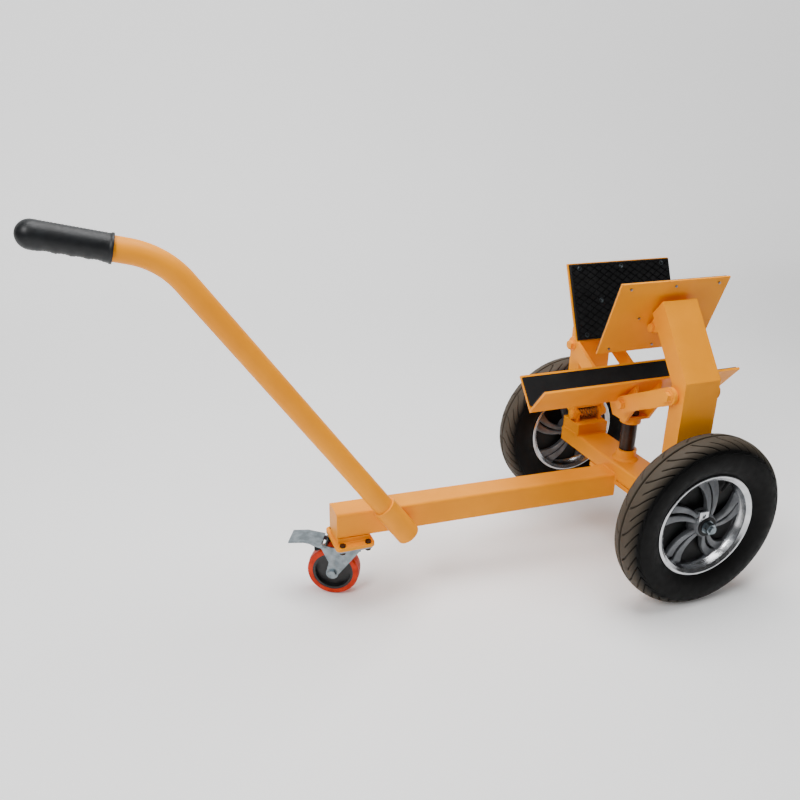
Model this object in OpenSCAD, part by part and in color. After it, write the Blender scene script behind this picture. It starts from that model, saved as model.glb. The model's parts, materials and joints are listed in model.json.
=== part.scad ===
// Three-wheeled self-clamping slab dolly, in millimetres, +Z up, standing on Z = 0.
// The load stands in the V trough. Its weight pushes the trough down on the guide rod,
// the four links pull the two arms together, and the hinged pads grip the slab.
// "near" is the side at -Y, where the handle is, and "front" is towards the castor at -X.

/* [Main wheels] */
// Outside diameter of the tyres
wheel_d = 432; // [380:2:520]
// Width of the tyres
tyre_w = 88; // [76:1:100]
// Diameter of the rims over their lips
rim_d = 262; // [236:2:300]
// Width of the rims over their lips
rim_w = 66; // [56:1:74]
// Distance between the centre planes of the two tyres
track = 580; // [540:2:760]
// Gap between a tyre and the end of the beam
wheel_gap = 6; // [4:1:20]
// Diameter of the spindles in the wheel bearings
spindle_d = 20; // [17:1:25]
// Outside diameter of the wheel bearings
bearing_d = 47; // [40:1:52]
// Width of the wheel bearings
bearing_w = 14; // [10:1:16]

/* [Cross beam] */
// Width of the beam along the dolly
beam_w = 94; // [80:1:120]
// Height of the beam
beam_h = 45; // [40:1:60]
// Height of the beam's centre over the axle
beam_rise = 6.5; // [3:0.5:9]
// Wall of the beam and of the arms
tube_wall = 4; // [3:0.5:5]
// Radius of the long edges of the beam and the drawbar
tube_r = 6; // [5:0.5:9]

/* [Drawbar] */
// Width and height of the square drawbar
drawbar_w = 65; // [50:1:80]
// Distance from the axle back to the castor's swivel axis
castor_x = 766; // [640:2:960]
// How far the drawbar's top stands over the beam's underside
drawbar_lap = 18; // [10:1:30]
// Height of the riser between the drawbar and the castor flange
riser_h = 13; // [6:1:40]

/* [Castor] */
// Diameter of the castor wheel
castor_d = 127; // [100:1:160]
// Width of the castor wheel
castor_w = 38; // [30:1:46]
// Distance between the swivel axis and the castor wheel's axle
castor_trail = 40; // [36:1:48]
// Angle that the castor stands at, turned about the swivel axis
castor_angle = -27; // [-40:1:40]

/* [Handle] */
// Diameter of the handle tube
handle_d = 48; // [38:1:52]
// Angle of the handle's straight part over the level
handle_lean = 54.2; // [45:0.2:65]
// Angle of the grip over the level
grip_lean = 13.5; // [0:0.5:30]
// Distance from the socket's centre to the middle of the bend, along the tube
handle_l = 808; // [600:2:1000]
// Distance from the middle of the bend to the centre of the grip's domed end
grip_reach = 219; // [190:1:300]
// Bend radius on the tube's centre line
bend_r = 160; // [120:5:220]
// Diameter of the grip
grip_d = 54; // [53:1:60]
// Length of the grip, without its dome
grip_l = 133; // [100:1:140]
// Distance from the axle back to the handle socket
socket_x = 662; // [560:2:690]

/* [Arms and pads] */
// Width of the arms along the dolly
arm_w = 96; // [80:1:120]
// Thickness of the arms across the dolly
arm_t = 46; // [40:1:52]
// Height of the outside corner where the arms bend inwards
arm_kink_z = 542; // [500:1:600]
// Length of the arms' upper part, on the outside
arm_top_l = 196; // [170:1:240]
// Lean of the arms' upper part from the upright
arm_lean = 36; // [25:0.5:42]
// How much shorter the arms are on the inside, to clear the pads
arm_cut = 11; // [11:1:16]
// Distance of the pads' pivots from the arms' top end, along the arms
pivot_drop = 36; // [34:1:60]
// Length of the pads along the dolly
pad_l = 302; // [240:2:400]
// Height of the pads along their slope
pad_h = 195; // [150:1:240]
// Lean of the near pad from the upright
near_pad_lean = 20; // [8:0.5:21]
// Lean of the far pad from the upright
far_pad_lean = 22.5; // [8:0.5:22.5]
// Thickness of the pads' steel plates
pad_plate_t = 5; // [4:0.5:8]
// Thickness of the pads' rubber
pad_rubber_t = 8; // [5:0.5:9]

/* [Trough and links] */
// Length of the trough
trough_l = 576; // [400:2:600]
// Width of each leg of the trough's angle section
trough_leg = 97; // [80:1:110]
// Half of the angle between the trough's legs
trough_half = 41; // [36:0.5:45]
// Height of the trough's lower edge
trough_z = 413; // [405:1:430]
// Width of the link bars
link_w = 42; // [32:1:46]
// Thickness of the link bars
link_t = 8; // [6:1:10]
// Diameter of the guide rod
rod_d = 40; // [30:1:44]

/* [Fits] */
// Radial clearance of a turning or sliding fit
run_gap = 0.06; // [0.02:0.01:0.1]
// Gap between flat faces that turn past each other
face_gap = 0.4; // [0.3:0.1:1]
// Radial clearance of the links on the trough's bolts
link_play = 1.2; // [1:0.1:3]

/* [Hidden] */
$fn = 64;

paint = "orange";
zinc = "silver";
black = [0.08, 0.08, 0.08];

// Beam and axle
axle_z = wheel_d / 2;
beam_end = track / 2 - tyre_w / 2 - wheel_gap;
end_plate_t = 5;
beam_z0 = axle_z + beam_rise - beam_h / 2;
beam_z1 = beam_z0 + beam_h;
joint_plate_t = 12;
joint_plate_l = 176;

// Hinges of the arms
arm_y = beam_end - 4;
hinge_y = arm_y - 41;
hinge_z = beam_z1 + 53;
block_h = 33;
block_y0 = hinge_y - 37;
lug_t = 8;
lug_r = 15;
hinge_pin_r = 7;
lug_x = arm_w / 2 - lug_t - face_gap - lug_t;
spring_r = 11.5;
spring_wire_r = 2.2;
spring_turns = 6;

// Castor stack, from the floor upwards
wheel_clear = 3;
crown_t = 4;
race_h = 11.2;
castor_plate_t = 4.5;
flange_t = 8;
crown_z = castor_d + wheel_clear;
race_z = crown_z + crown_t + 0.3;
castor_plate_z = race_z + race_h;
castor_h = castor_plate_z + castor_plate_t;
flange_top = castor_h + flange_t;
flange_l = 94;
flange_w = 108;
bolt_dx = 62;
bolt_dy = 88;
king_r = 6;
castor_r = castor_d / 2;
leg_t = 3.5;
leg_y = castor_w / 2 + 3.5;
brake_x = -castor_trail - 18;
brake_z = crown_z + 1;
brake_pin_r = 3;

// Drawbar: its lower edge climbs from the beam to the castor
drawbar_x0 = -castor_x - 41;
drawbar_x1 = -beam_w / 2;
drawbar_wall = 4;
drawbar_b1 = beam_z0 + drawbar_lap - drawbar_w;
drawbar_slope = (flange_top + riser_h - drawbar_b1) / (castor_x + drawbar_x1);
function drawbar_bottom(x) = drawbar_b1 + drawbar_slope * (drawbar_x1 - x);

// Handle: points and directions in the plane of the handle
socket_wall = 4.4;
socket_r = handle_d / 2 + run_gap + socket_wall;
handle_y = -drawbar_w / 2 - socket_r - 1;
socket_z = drawbar_bottom(-socket_x) + drawbar_w / 2;
socket_up = 72;
socket_down = 34;
socket_stop = 4;
bend_angle = handle_lean - grip_lean;
bend_cut = bend_r * tan(bend_angle / 2);
bend_x = -socket_x - handle_l * cos(handle_lean);
bend_z = socket_z + handle_l * sin(handle_lean);
grip_end_x = bend_x - grip_reach * cos(grip_lean);
handle_wall = 3;

// Whole length, which sets the origin under the middle of the dolly
trough_x = -15;
x_low = grip_end_x - grip_d / 2;
x_high = max(trough_x + trough_l / 2, wheel_d / 2);
mid_x = (x_low + x_high) / 2;

// Arm section in the Y-Z plane, for the near side
arm_foot_z = hinge_z + 18;
arm_top_y = -arm_y + arm_top_l * sin(arm_lean);
arm_top_z = arm_kink_z + arm_top_l * cos(arm_lean);
kink_in_z = arm_kink_z - arm_t * tan(arm_lean / 2);
cap_t = 4;
// Point on the arm's upper part: along from the top down, and depth in from the outside
function arm_pt(along, depth) = [
    arm_top_y - along * sin(arm_lean) + depth * cos(arm_lean),
    arm_top_z - along * cos(arm_lean) - depth * sin(arm_lean)];
pad_pivot = arm_pt(pivot_drop, arm_t + 19);
ear_r = 12;
ear_t = 8;
ear_x = 36;
pad_pin_r = 6;
pad_off = 15;
pad_drop = 77;
pad_x = -11;
rubber_inset = 3;

// Links
link_out = [-(hinge_y + 9), hinge_z + 206];
link_in = [-40, trough_z + 8];
link_len = norm(link_out - link_in);
link_angle = atan2(link_in[1] - link_out[1], link_in[0] - link_out[0]);
link_x = arm_w / 2 + 8;
link_bolt_r = 8;

// Trough section
trough_wall = 6;
lining_t = 5;
lining_inset = 7;
hanger_t = 8;
hanger_x = arm_w / 2 - 10;
hanger_half = 54;
collar_z0 = trough_z - 63;
collar_z1 = trough_z - 41;
collar_r = rod_d / 2 + 7;
sleeve_r = rod_d / 2 + 7;
sleeve_z0 = beam_z0 - 5;
sleeve_z1 = beam_z1 + 27;
rod_z0 = beam_z0 + 14;

// Wheel parts along their axle, measured outwards from the centre plane
hub_r = bearing_d / 2 + 9;
hub_half = 32;
spindle_root_r = 11;
shoulder = 22;
nut_h = 13;
spoke_at = 37;
spoke_near_at = -1;
spoke_sweep = 20;
valve_at = 56;

// ---------------------------------------------------------------- helpers

// Moves the dolly so that its origin lies under its middle
module placed() {
    translate([-mid_x, 0, 0]) children();
}

// Builds one side as drawn for near, and mirrored for far
module on_side(far) {
    if (far) mirror([0, 1, 0]) children();
    else children();
}

// Cylinder along X from x0 to x1 at y, z
module rod_x(x0, x1, y, z, r) {
    translate([x0, y, z]) rotate([0, 90, 0]) cylinder(h = x1 - x0, r = r);
}

// Profile in the Y-Z plane, extruded along X from x0 to x1
module slab_x(x0, x1) {
    translate([x0, 0, 0]) rotate([90, 0, 90]) linear_extrude(x1 - x0) children();
}

// Profile in the X-Z plane, extruded along Y from y0 to y1
module slab_y(y0, y1) {
    translate([0, y1, 0]) rotate([90, 0, 0]) linear_extrude(y1 - y0) children();
}

// Rectangle with round corners, centred
module round_rect(l, w, r) {
    union() {
        square([l - 2 * r, w], center = true);
        square([l, w - 2 * r], center = true);
        for (x = [-1, 1]) for (y = [-1, 1])
            translate([x * (l / 2 - r), y * (w / 2 - r)]) circle(r = r);
    }
}

// Plate with round corners, centred in X and Y, from z = 0 up
module round_plate(l, w, t, r) {
    linear_extrude(t) round_rect(l, w, r);
}

// Section of a rectangular tube, drawn in by a wall
module tube_section(l, w, wall) {
    round_rect(l - 2 * wall, w - 2 * wall, max(tube_r - wall, 1));
}

// Hexagon nut or bolt head of width af across its flats, from z = 0 up
module hex(af, h) {
    cylinder(h = h, r = af / 2 / cos(30), $fn = 6);
}

// ---------------------------------------------------------------- frame

// Length of the beam's section from y0 to y1, drawn in by a wall
module beam_bar(y0, y1, wall) {
    slab_y(y0, y1) translate([0, beam_z0 + beam_h / 2]) tube_section(beam_w, beam_h, wall);
}

module cross_beam() {
    color(paint) difference() {
        beam_bar(-beam_end + end_plate_t, beam_end - end_plate_t, 0);
        beam_bar(-beam_end, beam_end, tube_wall);
        translate([0, 0, beam_z0 - 1]) cylinder(h = beam_h + 2, r = sleeve_r);
    }
}

module beam_end_plates() {
    color(paint) for (s = [-1, 1]) difference() {
        beam_bar(s * (beam_end - end_plate_t / 2) - end_plate_t / 2,
            s * (beam_end - end_plate_t / 2) + end_plate_t / 2, 0);
        translate([0, s * (beam_end + 1), axle_z]) rotate([s * 90, 0, 0])
            cylinder(h = end_plate_t + 2, r = spindle_root_r);
    }
}

module joint_plate() {
    color(paint) difference() {
        translate([-beam_w / 2, -joint_plate_l / 2, beam_z0 - joint_plate_t])
            cube([beam_w, joint_plate_l, joint_plate_t]);
        translate([0, 0, beam_z0 - joint_plate_t - 1]) cylinder(h = joint_plate_t + 2, r = sleeve_r);
    }
}

// Length of the drawbar's section, drawn in by a wall and cut upright at x0 and x1
module drawbar_bar(x0, x1, wall) {
    lean = atan(drawbar_slope);
    h = drawbar_w * cos(lean);
    intersection() {
        translate([drawbar_x1, 0, drawbar_b1]) rotate([0, lean - 90, 0]) translate([h / 2, 0, -40])
            linear_extrude(castor_x + 120) tube_section(h, drawbar_w, wall);
        translate([x0, -drawbar_w, 0]) cube([x1 - x0, 2 * drawbar_w, 2 * wheel_d]);
    }
}

module drawbar() {
    color(paint) difference() {
        drawbar_bar(drawbar_x0 + end_plate_t, drawbar_x1, 0);
        drawbar_bar(drawbar_x0, drawbar_x1 + 1, drawbar_wall);
    }
}

module drawbar_end_plate() {
    color(paint) drawbar_bar(drawbar_x0, drawbar_x0 + end_plate_t, 0);
}

module castor_riser() {
    wall = 6;
    x0 = -castor_x - 39;
    x1 = -castor_x + 39;
    color(paint) difference() {
        slab_y(-drawbar_w / 2, drawbar_w / 2) polygon([
            [x0, flange_top], [x1, flange_top], [x1, drawbar_bottom(x1)], [x0, drawbar_bottom(x0)]]);
        translate([x0 + wall, -drawbar_w / 2 + wall, flange_top - 1])
            cube([x1 - x0 - 2 * wall, drawbar_w - 2 * wall, riser_h + 10]);
    }
}

// The four bolt places of the castor, about its swivel axis
module at_castor_bolts() {
    for (x = [-1, 1]) for (y = [-1, 1])
        translate([-castor_x + x * bolt_dx / 2, y * bolt_dy / 2, 0]) children();
}

module castor_flange() {
    color(paint) difference() {
        translate([-castor_x, 0, castor_h]) round_plate(flange_l, flange_w, flange_t, 12);
        at_castor_bolts() translate([0, 0, castor_h - 1]) cylinder(h = flange_t + 2, r = 4.5);
    }
}

module flange_bolts() {
    color(zinc) at_castor_bolts() {
        translate([0, 0, castor_plate_z - 7.5]) cylinder(h = castor_plate_t + flange_t + 7.5, r = 4);
        translate([0, 0, flange_top]) hex(13, 5.3);
        translate([0, 0, castor_plate_z - 6.5]) hex(13, 6.5);
    }
}

// Puts its children's +Z along the handle's straight part, with z = 0 at the socket's centre
module on_handle_axis() {
    translate([-socket_x, handle_y, socket_z]) rotate([0, handle_lean - 90, 0]) children();
}

module handle_socket() {
    bore = handle_d / 2 + run_gap;
    color(paint) on_handle_axis() difference() {
        union() {
            translate([0, 0, -socket_down]) cylinder(h = socket_up + socket_down, r = socket_r);
            // Weld saddle that fills the gap to the drawbar's side
            translate([-14, 0, -24]) cube([28, -drawbar_w / 2 - handle_y, 48]);
        }
        translate([0, 0, -socket_down + socket_stop]) cylinder(h = socket_up + socket_down, r = bore);
    }
}

module guide_sleeve() {
    color(paint) translate([0, 0, sleeve_z0]) difference() {
        union() {
            cylinder(h = sleeve_z1 - sleeve_z0, r = sleeve_r);
            translate([0, 0, beam_z1 - sleeve_z0]) cylinder(h = 8, r1 = sleeve_r + 7, r2 = sleeve_r);
        }
        translate([0, 0, -1]) cylinder(h = sleeve_z1 - sleeve_z0 + 2, r = rod_d / 2 + run_gap);
    }
}

// ---------------------------------------------------------------- arm hinges

module hinge_block(far) {
    y0 = -arm_y;
    y1 = -block_y0;
    color(paint) on_side(far) difference() {
        union() {
            translate([-beam_w / 2, y0, beam_z1]) cube([beam_w, y1 - y0, block_h]);
            for (s = [-1, 1]) slab_x(s * (lug_x + lug_t / 2) - lug_t / 2, s * (lug_x + lug_t / 2) + lug_t / 2)
                union() {
                    translate([-hinge_y, hinge_z]) circle(r = lug_r);
                    translate([-hinge_y - lug_r, beam_z1 + block_h - 1])
                        square([2 * lug_r, hinge_z - beam_z1 - block_h + 1]);
                }
        }
        rod_x(-arm_w, arm_w, -hinge_y, hinge_z, hinge_pin_r);
        translate([-beam_w / 2 + tube_wall, y0 - 1, beam_z1 + tube_wall])
            cube([beam_w - 2 * tube_wall, y1 - y0 - tube_wall, block_h - 2 * tube_wall]);
    }
}

module hinge_pins() {
    x1 = arm_w / 2 + face_gap;
    color(zinc) for (s = [-1, 1]) {
        rod_x(-x1, x1 + 10, s * hinge_y, hinge_z, hinge_pin_r);
        // Domed head at the front end
        translate([-x1, s * hinge_y, hinge_z]) rotate([0, -90, 0]) rotate_extrude() intersection() {
            translate([0, -16]) circle(r = 24);
            square([13, 8]);
        }
        translate([x1, s * hinge_y, hinge_z]) rotate([0, 90, 0]) hex(24, 8);
    }
}

// Points of one ring of the spring wire, at t turns along the coil
function coil_ring(t, len, sides) = [for (k = [0:sides - 1])
    let (a = 360 * t, b = 360 * k / sides, r = spring_r + spring_wire_r * cos(b))
    [len * t / spring_turns - len / 2 + spring_wire_r * sin(b), r * cos(a), r * sin(a)]];

module coil_spring(len) {
    sides = 6;
    steps = 18 * spring_turns;
    pts = [for (i = [0:steps]) for (p = coil_ring(i * spring_turns / steps, len, sides)) p];
    walls = [for (i = [0:steps - 1]) for (k = [0:sides - 1])
        let (a = i * sides + k, b = i * sides + (k + 1) % sides) [a, b, b + sides, a + sides]];
    ends = [[for (k = [sides - 1:-1:0]) k], [for (k = [0:sides - 1]) steps * sides + k]];
    polyhedron(points = pts, faces = concat(walls, ends), convexity = 8);
}

module hinge_springs() {
    color("dimgray") for (s = [-1, 1])
        translate([0, s * hinge_y, hinge_z]) coil_spring(2 * lug_x - 2 * spring_wire_r - 2);
}

// ---------------------------------------------------------------- arms

// Outline of an arm in the Y-Z plane, drawn in by a wall on its long sides
module arm_side(wall, past) {
    top_out = arm_pt(arm_cut * wall / arm_t - past, wall);
    top_in = arm_pt(arm_cut * (1 - wall / arm_t) - past, arm_t - wall);
    polygon([
        [-arm_y + wall, arm_foot_z - past],
        [-arm_y + wall, arm_kink_z - wall * tan(arm_lean / 2)],
        top_out, top_in,
        [-arm_y + arm_t - wall, kink_in_z + wall * tan(arm_lean / 2)],
        [-arm_y + arm_t - wall, arm_foot_z - past]]);
}

module arm(far) {
    v = pivot_drop;
    color(paint) on_side(far) difference() {
        union() {
            difference() {
                slab_x(-arm_w / 2, arm_w / 2) arm_side(0, 0);
                slab_x(-arm_w / 2 + tube_wall, arm_w / 2 - tube_wall) arm_side(tube_wall, 1);
            }
            // Hinge ears at the foot, outside the block's lugs
            for (s = [-1, 1]) slab_x(s * (arm_w / 2 - lug_t / 2) - lug_t / 2, s * (arm_w / 2 - lug_t / 2) + lug_t / 2)
                union() {
                    translate([-hinge_y, hinge_z]) circle(r = lug_r - 1);
                    polygon([[-hinge_y - lug_r + 1, hinge_z], [-hinge_y + lug_r - 1, hinge_z],
                        [-arm_y + arm_t, hinge_z + 40], [-arm_y, hinge_z + 40], [-arm_y, hinge_z + 12]]);
                }
            // Pad ears on the inside of the upper part
            for (s = [-1, 1]) slab_x(s * (ear_x + ear_t / 2) - ear_t / 2, s * (ear_x + ear_t / 2) + ear_t / 2)
                union() {
                    translate(pad_pivot) circle(r = ear_r);
                    polygon([arm_pt(v - ear_r - 8, arm_t - 1), arm_pt(v - ear_r, arm_t + 19),
                        arm_pt(v + ear_r, arm_t + 19), arm_pt(v + ear_r + 8, arm_t - 1)]);
                }
        }
        rod_x(-arm_w, arm_w, -hinge_y, hinge_z, hinge_pin_r + run_gap);
        rod_x(-arm_w, arm_w, link_out[0], link_out[1], link_bolt_r);
        rod_x(-arm_w, arm_w, pad_pivot[0], pad_pivot[1], pad_pin_r);
    }
}

module arm_cap(far) {
    color(paint) on_side(far) slab_x(-arm_w / 2, arm_w / 2)
        polygon([arm_pt(0, 0), arm_pt(-cap_t, 0), arm_pt(arm_cut - cap_t, arm_t), arm_pt(arm_cut, arm_t)]);
}

module link_bolt(far) {
    x1 = link_x + link_t + face_gap;
    color(zinc) on_side(far) {
        rod_x(-x1, x1 + 9, link_out[0], link_out[1], link_bolt_r);
        for (e = [-1, 1]) translate([e * arm_w / 2, link_out[0], link_out[1]]) rotate([0, e * 90, 0])
            cylinder(h = link_x - arm_w / 2 - face_gap, r = 13);
        translate([-x1, link_out[0], link_out[1]]) rotate([0, -90, 0]) cylinder(h = 3, r = 15);
        translate([-x1 - 3, link_out[0], link_out[1]]) rotate([0, -90, 0]) hex(22, 9);
        translate([x1, link_out[0], link_out[1]]) rotate([0, 90, 0]) hex(22, 8);
    }
}

// ---------------------------------------------------------------- pads

// Puts its children at the pad's pivot, with +Z up the pad and +Y out of its face
module on_pad(far) {
    lean = far ? far_pad_lean : near_pad_lean;
    on_side(far) translate([0, pad_pivot[0], pad_pivot[1]]) rotate([lean, 0, 0]) children();
}

module pad_pin(far) {
    x1 = ear_x + ear_t;
    color(zinc) on_side(far) {
        rod_x(-x1, x1 + 6, pad_pivot[0], pad_pivot[1], pad_pin_r);
        translate([-x1, pad_pivot[0], pad_pivot[1]]) rotate([0, -90, 0]) hex(18, 7);
        translate([x1, pad_pivot[0], pad_pivot[1]]) rotate([0, 90, 0]) hex(18, 6);
    }
}

// The eight screw places of a pad, from its centre line and up its slope
module at_pad_screws() {
    for (s = [-1, 0, 1]) for (v = [14, pad_h - 14])
        translate([pad_x + s * (pad_l / 2 - 28), 0, v - pad_drop]) children();
    for (s = [-1, 1]) translate([pad_x + s * (pad_l / 4 - 6), 0, pad_h / 2 - pad_drop]) children();
}

module pad_plate(far) {
    inner_x = ear_x - face_gap;
    color(paint) on_pad(far) difference() {
        union() {
            translate([pad_x - pad_l / 2, pad_off, -pad_drop]) cube([pad_l, pad_plate_t, pad_h]);
            for (s = [-1, 1]) slab_x(s * (inner_x - ear_t / 2) - ear_t / 2, s * (inner_x - ear_t / 2) + ear_t / 2)
                union() {
                    circle(r = ear_r);
                    polygon([[0, -ear_r], [pad_off + 1, -ear_r - 10], [pad_off + 1, ear_r + 10], [0, ear_r]]);
                }
        }
        rod_x(-arm_w, arm_w, 0, 0, pad_pin_r + run_gap);
        at_pad_screws() translate([0, pad_off - 1, 0]) rotate([-90, 0, 0])
            cylinder(h = pad_plate_t + 2, r = 3);
    }
}

module pad_rubber(far) {
    l = pad_l - 2 * rubber_inset;
    h = pad_h - 2 * rubber_inset;
    color(black) on_pad(far) difference() {
        translate([pad_x - l / 2, pad_off + pad_plate_t, -pad_drop + rubber_inset])
            cube([l, pad_rubber_t, h]);
        at_pad_screws() {
            translate([0, pad_off + pad_plate_t - 1, 0]) rotate([-90, 0, 0])
                cylinder(h = pad_rubber_t + 2, r = 3);
            translate([0, pad_off + pad_plate_t + pad_rubber_t - 4, 0]) rotate([-90, 0, 0])
                cylinder(h = 5, r = 6);
        }
    }
}

module pad_screws(far) {
    face = pad_off + pad_plate_t + pad_rubber_t;
    color(zinc) on_pad(far) at_pad_screws() {
        translate([0, pad_off - 3, 0]) rotate([-90, 0, 0]) cylinder(h = face - pad_off - 1, r = 3);
        translate([0, face - 4, 0]) rotate([-90, 0, 0]) cylinder(h = 2.5, r = 6);
    }
}

// ---------------------------------------------------------------- trough and links

// Flat link bar in the Y-Z plane, from the arm's bolt to the trough's bolt
module link_bar(far, rear) {
    x0 = rear ? link_x : -link_x - link_t;
    color(paint) on_side(far) slab_x(x0, x0 + link_t) difference() {
        translate(link_out) rotate(link_angle) union() {
            circle(r = link_w / 2);
            translate([link_len, 0]) circle(r = link_w / 2);
            translate([0, -link_w / 2]) square([link_len, link_w]);
        }
        translate(link_out) circle(r = link_bolt_r + run_gap);
        translate(link_in) circle(r = link_bolt_r + link_play);
    }
}

// Point on the trough's leg: along from the bottom edge, and depth in from the outside
function leg_pt(along, depth) = [
    along * sin(trough_half) - depth * cos(trough_half),
    trough_z + along * cos(trough_half) + depth * sin(trough_half)];

// Section of the V between two depths in from the outside, with legs up to a length
module v_section(d0, d1, leg) {
    half = [leg_pt(leg, d0), leg_pt(leg, d1)];
    polygon([[0, trough_z + d0 / sin(trough_half)], half[0], half[1],
        [0, trough_z + d1 / sin(trough_half)], [-half[1][0], half[1][1]], [-half[0][0], half[0][1]]]);
}

module trough() {
    color(paint) slab_x(trough_x - trough_l / 2, trough_x + trough_l / 2)
        v_section(0, trough_wall, trough_leg);
}

// Two strips that stop short of the V's lower corner, so that a flat slab's edge can lie on each
module trough_lining() {
    a0 = trough_wall + lining_t + 5;
    a1 = trough_leg - lining_inset;
    color(black) for (far = [false, true]) on_side(far)
        slab_x(trough_x - trough_l / 2 + 2, trough_x + trough_l / 2 - 2) mirror([1, 0, 0])
            polygon([leg_pt(a0, trough_wall), leg_pt(a1, trough_wall),
                leg_pt(a1, trough_wall + lining_t), leg_pt(a0, trough_wall + lining_t)]);
}

module trough_hanger() {
    v_rise = hanger_half / tan(trough_half);
    color(paint) difference() {
        union() {
            for (s = [-1, 1]) slab_x(s * (hanger_x - hanger_t / 2) - hanger_t / 2, s * (hanger_x - hanger_t / 2) + hanger_t / 2)
                polygon([[0, trough_z], [hanger_half, trough_z + v_rise], [hanger_half, trough_z - 6],
                    [collar_r, collar_z1 - 8], [-collar_r, collar_z1 - 8],
                    [-hanger_half, trough_z - 6], [-hanger_half, trough_z + v_rise]]);
            translate([-hanger_x, -collar_r, collar_z1 - 8]) cube([2 * hanger_x, 2 * collar_r, 8]);
            translate([0, 0, collar_z0]) cylinder(h = collar_z1 - collar_z0, r = collar_r);
        }
        translate([0, 0, collar_z0 - 1]) cylinder(h = collar_z1 - collar_z0 + 2, r = rod_d / 2);
        for (s = [-1, 1]) rod_x(-arm_w, arm_w, s * link_in[0], link_in[1], link_bolt_r);
    }
}

module guide_rod() {
    color(black) translate([0, 0, rod_z0]) cylinder(h = collar_z1 - rod_z0 + 6, r = rod_d / 2);
}

module trough_bolts() {
    x0 = hanger_x - hanger_t - 9;
    x1 = link_x + link_t + face_gap;
    color(zinc) for (s = [-1, 1]) for (e = [-1, 1]) mirror([e < 0 ? 1 : 0, 0, 0])
        translate([0, s * link_in[0], link_in[1]]) rotate([0, 90, 0]) {
            translate([0, 0, x0]) cylinder(h = x1 - x0, r = link_bolt_r);
            translate([0, 0, hanger_x - hanger_t - 8]) hex(22, 8);
            translate([0, 0, x1]) cylinder(h = 3, r = 13);
            translate([0, 0, x1 + 3]) hex(20, 7);
        }
}

// ---------------------------------------------------------------- handle

// Straight tube or rod along +Z
module pipe(h, r, wall) {
    difference() {
        cylinder(h = h, r = r);
        translate([0, 0, -1]) cylinder(h = h + 2, r = r - wall);
    }
}

// Puts its children's +Z along the grip's axis, with z = 0 at the middle of the bend
module on_grip_axis() {
    translate([bend_x, handle_y, bend_z]) rotate([0, grip_lean - 90, 0]) children();
}

module handle_tube() {
    r = handle_d / 2;
    foot = -socket_down + socket_stop + face_gap;
    color(paint) union() {
        on_handle_axis() translate([0, 0, foot]) pipe(handle_l - bend_cut - foot, r, handle_wall);
        on_handle_axis() translate([-bend_r, 0, handle_l - bend_cut]) rotate([90, 0, 0])
            rotate_extrude(angle = bend_angle) translate([bend_r, 0]) difference() {
                circle(r = r);
                circle(r = r - handle_wall);
            }
        on_grip_axis() translate([0, 0, bend_cut]) pipe(grip_reach - bend_cut - 6, r, handle_wall);
    }
}

module handle_grip() {
    r = grip_d / 2;
    bore = handle_d / 2;
    pitch = grip_l / 5;
    color(black) on_grip_axis() difference() {
        union() {
            translate([0, 0, grip_reach - grip_l]) cylinder(h = grip_l, r = r);
            translate([0, 0, grip_reach]) sphere(r = r);
            translate([0, 0, grip_reach - grip_l]) cylinder(h = 5, r = r + 1.5);
        }
        translate([0, 0, grip_reach - grip_l - 1]) cylinder(h = grip_l - 5, r = bore);
        // Finger hollows along the underside
        for (i = [1:4]) translate([r + 13, 0, grip_reach - grip_l + i * pitch]) rotate([90, 0, 0])
            cylinder(h = 2 * r, r = 15, center = true);
    }
}

// ---------------------------------------------------------------- castor

// Puts its children about the swivel axis, turned as the castor stands
module on_castor() {
    translate([-castor_x, 0, 0]) rotate([0, 0, castor_angle]) children();
}

module castor_plate() {
    color(zinc) difference() {
        union() {
            translate([-castor_x, 0, castor_plate_z]) round_plate(84, 104, castor_plate_t, 8);
            translate([-castor_x, 0, race_z]) cylinder(h = race_h, r1 = 31, r2 = 27);
        }
        at_castor_bolts() translate([0, 0, castor_plate_z - 1]) cylinder(h = castor_plate_t + 2, r = 4.5);
        translate([-castor_x, 0, race_z - 1]) cylinder(h = race_h + castor_plate_t + 2, r = king_r);
    }
}

module king_pin() {
    color(zinc) translate([-castor_x, 0, 0]) {
        translate([0, 0, crown_z - 5]) cylinder(h = castor_h - crown_z + 5, r = king_r);
        translate([0, 0, crown_z - 5.5]) cylinder(h = 5.2, r = 10);
    }
}

// Side outline of a fork leg, in the castor's X-Z plane
module fork_leg_side() {
    union() {
        translate([-castor_trail, castor_r]) circle(r = 15);
        polygon([[-castor_trail - 15, castor_r], [-castor_trail + 15, castor_r - 2],
            [30, crown_z + crown_t], [-castor_trail + 2, crown_z + crown_t]]);
        polygon([[-castor_trail - 8, castor_r + 30], [-castor_trail + 8, castor_r + 40],
            [-castor_trail + 8, crown_z + crown_t], [brake_x, brake_z + 7], [brake_x - 5, brake_z - 5]]);
        translate([brake_x, brake_z]) circle(r = 7);
    }
}

module castor_fork() {
    y1 = leg_y + leg_t;
    color(zinc) on_castor() difference() {
        union() {
            translate([-castor_trail + 6, -y1, crown_z]) cube([castor_trail + 24, 2 * y1, crown_t]);
            for (s = [-1, 1]) slab_y(s * (leg_y + leg_t / 2) - leg_t / 2, s * (leg_y + leg_t / 2) + leg_t / 2)
                fork_leg_side();
        }
        translate([0, 0, crown_z - 1]) cylinder(h = crown_t + 2, r = king_r + run_gap);
        translate([-castor_trail, y1 + 1, castor_r]) rotate([90, 0, 0]) cylinder(h = 2 * y1 + 2, r = 6);
        translate([brake_x, y1 + 1, brake_z]) rotate([90, 0, 0]) cylinder(h = 2 * y1 + 2, r = brake_pin_r);
    }
}

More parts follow.
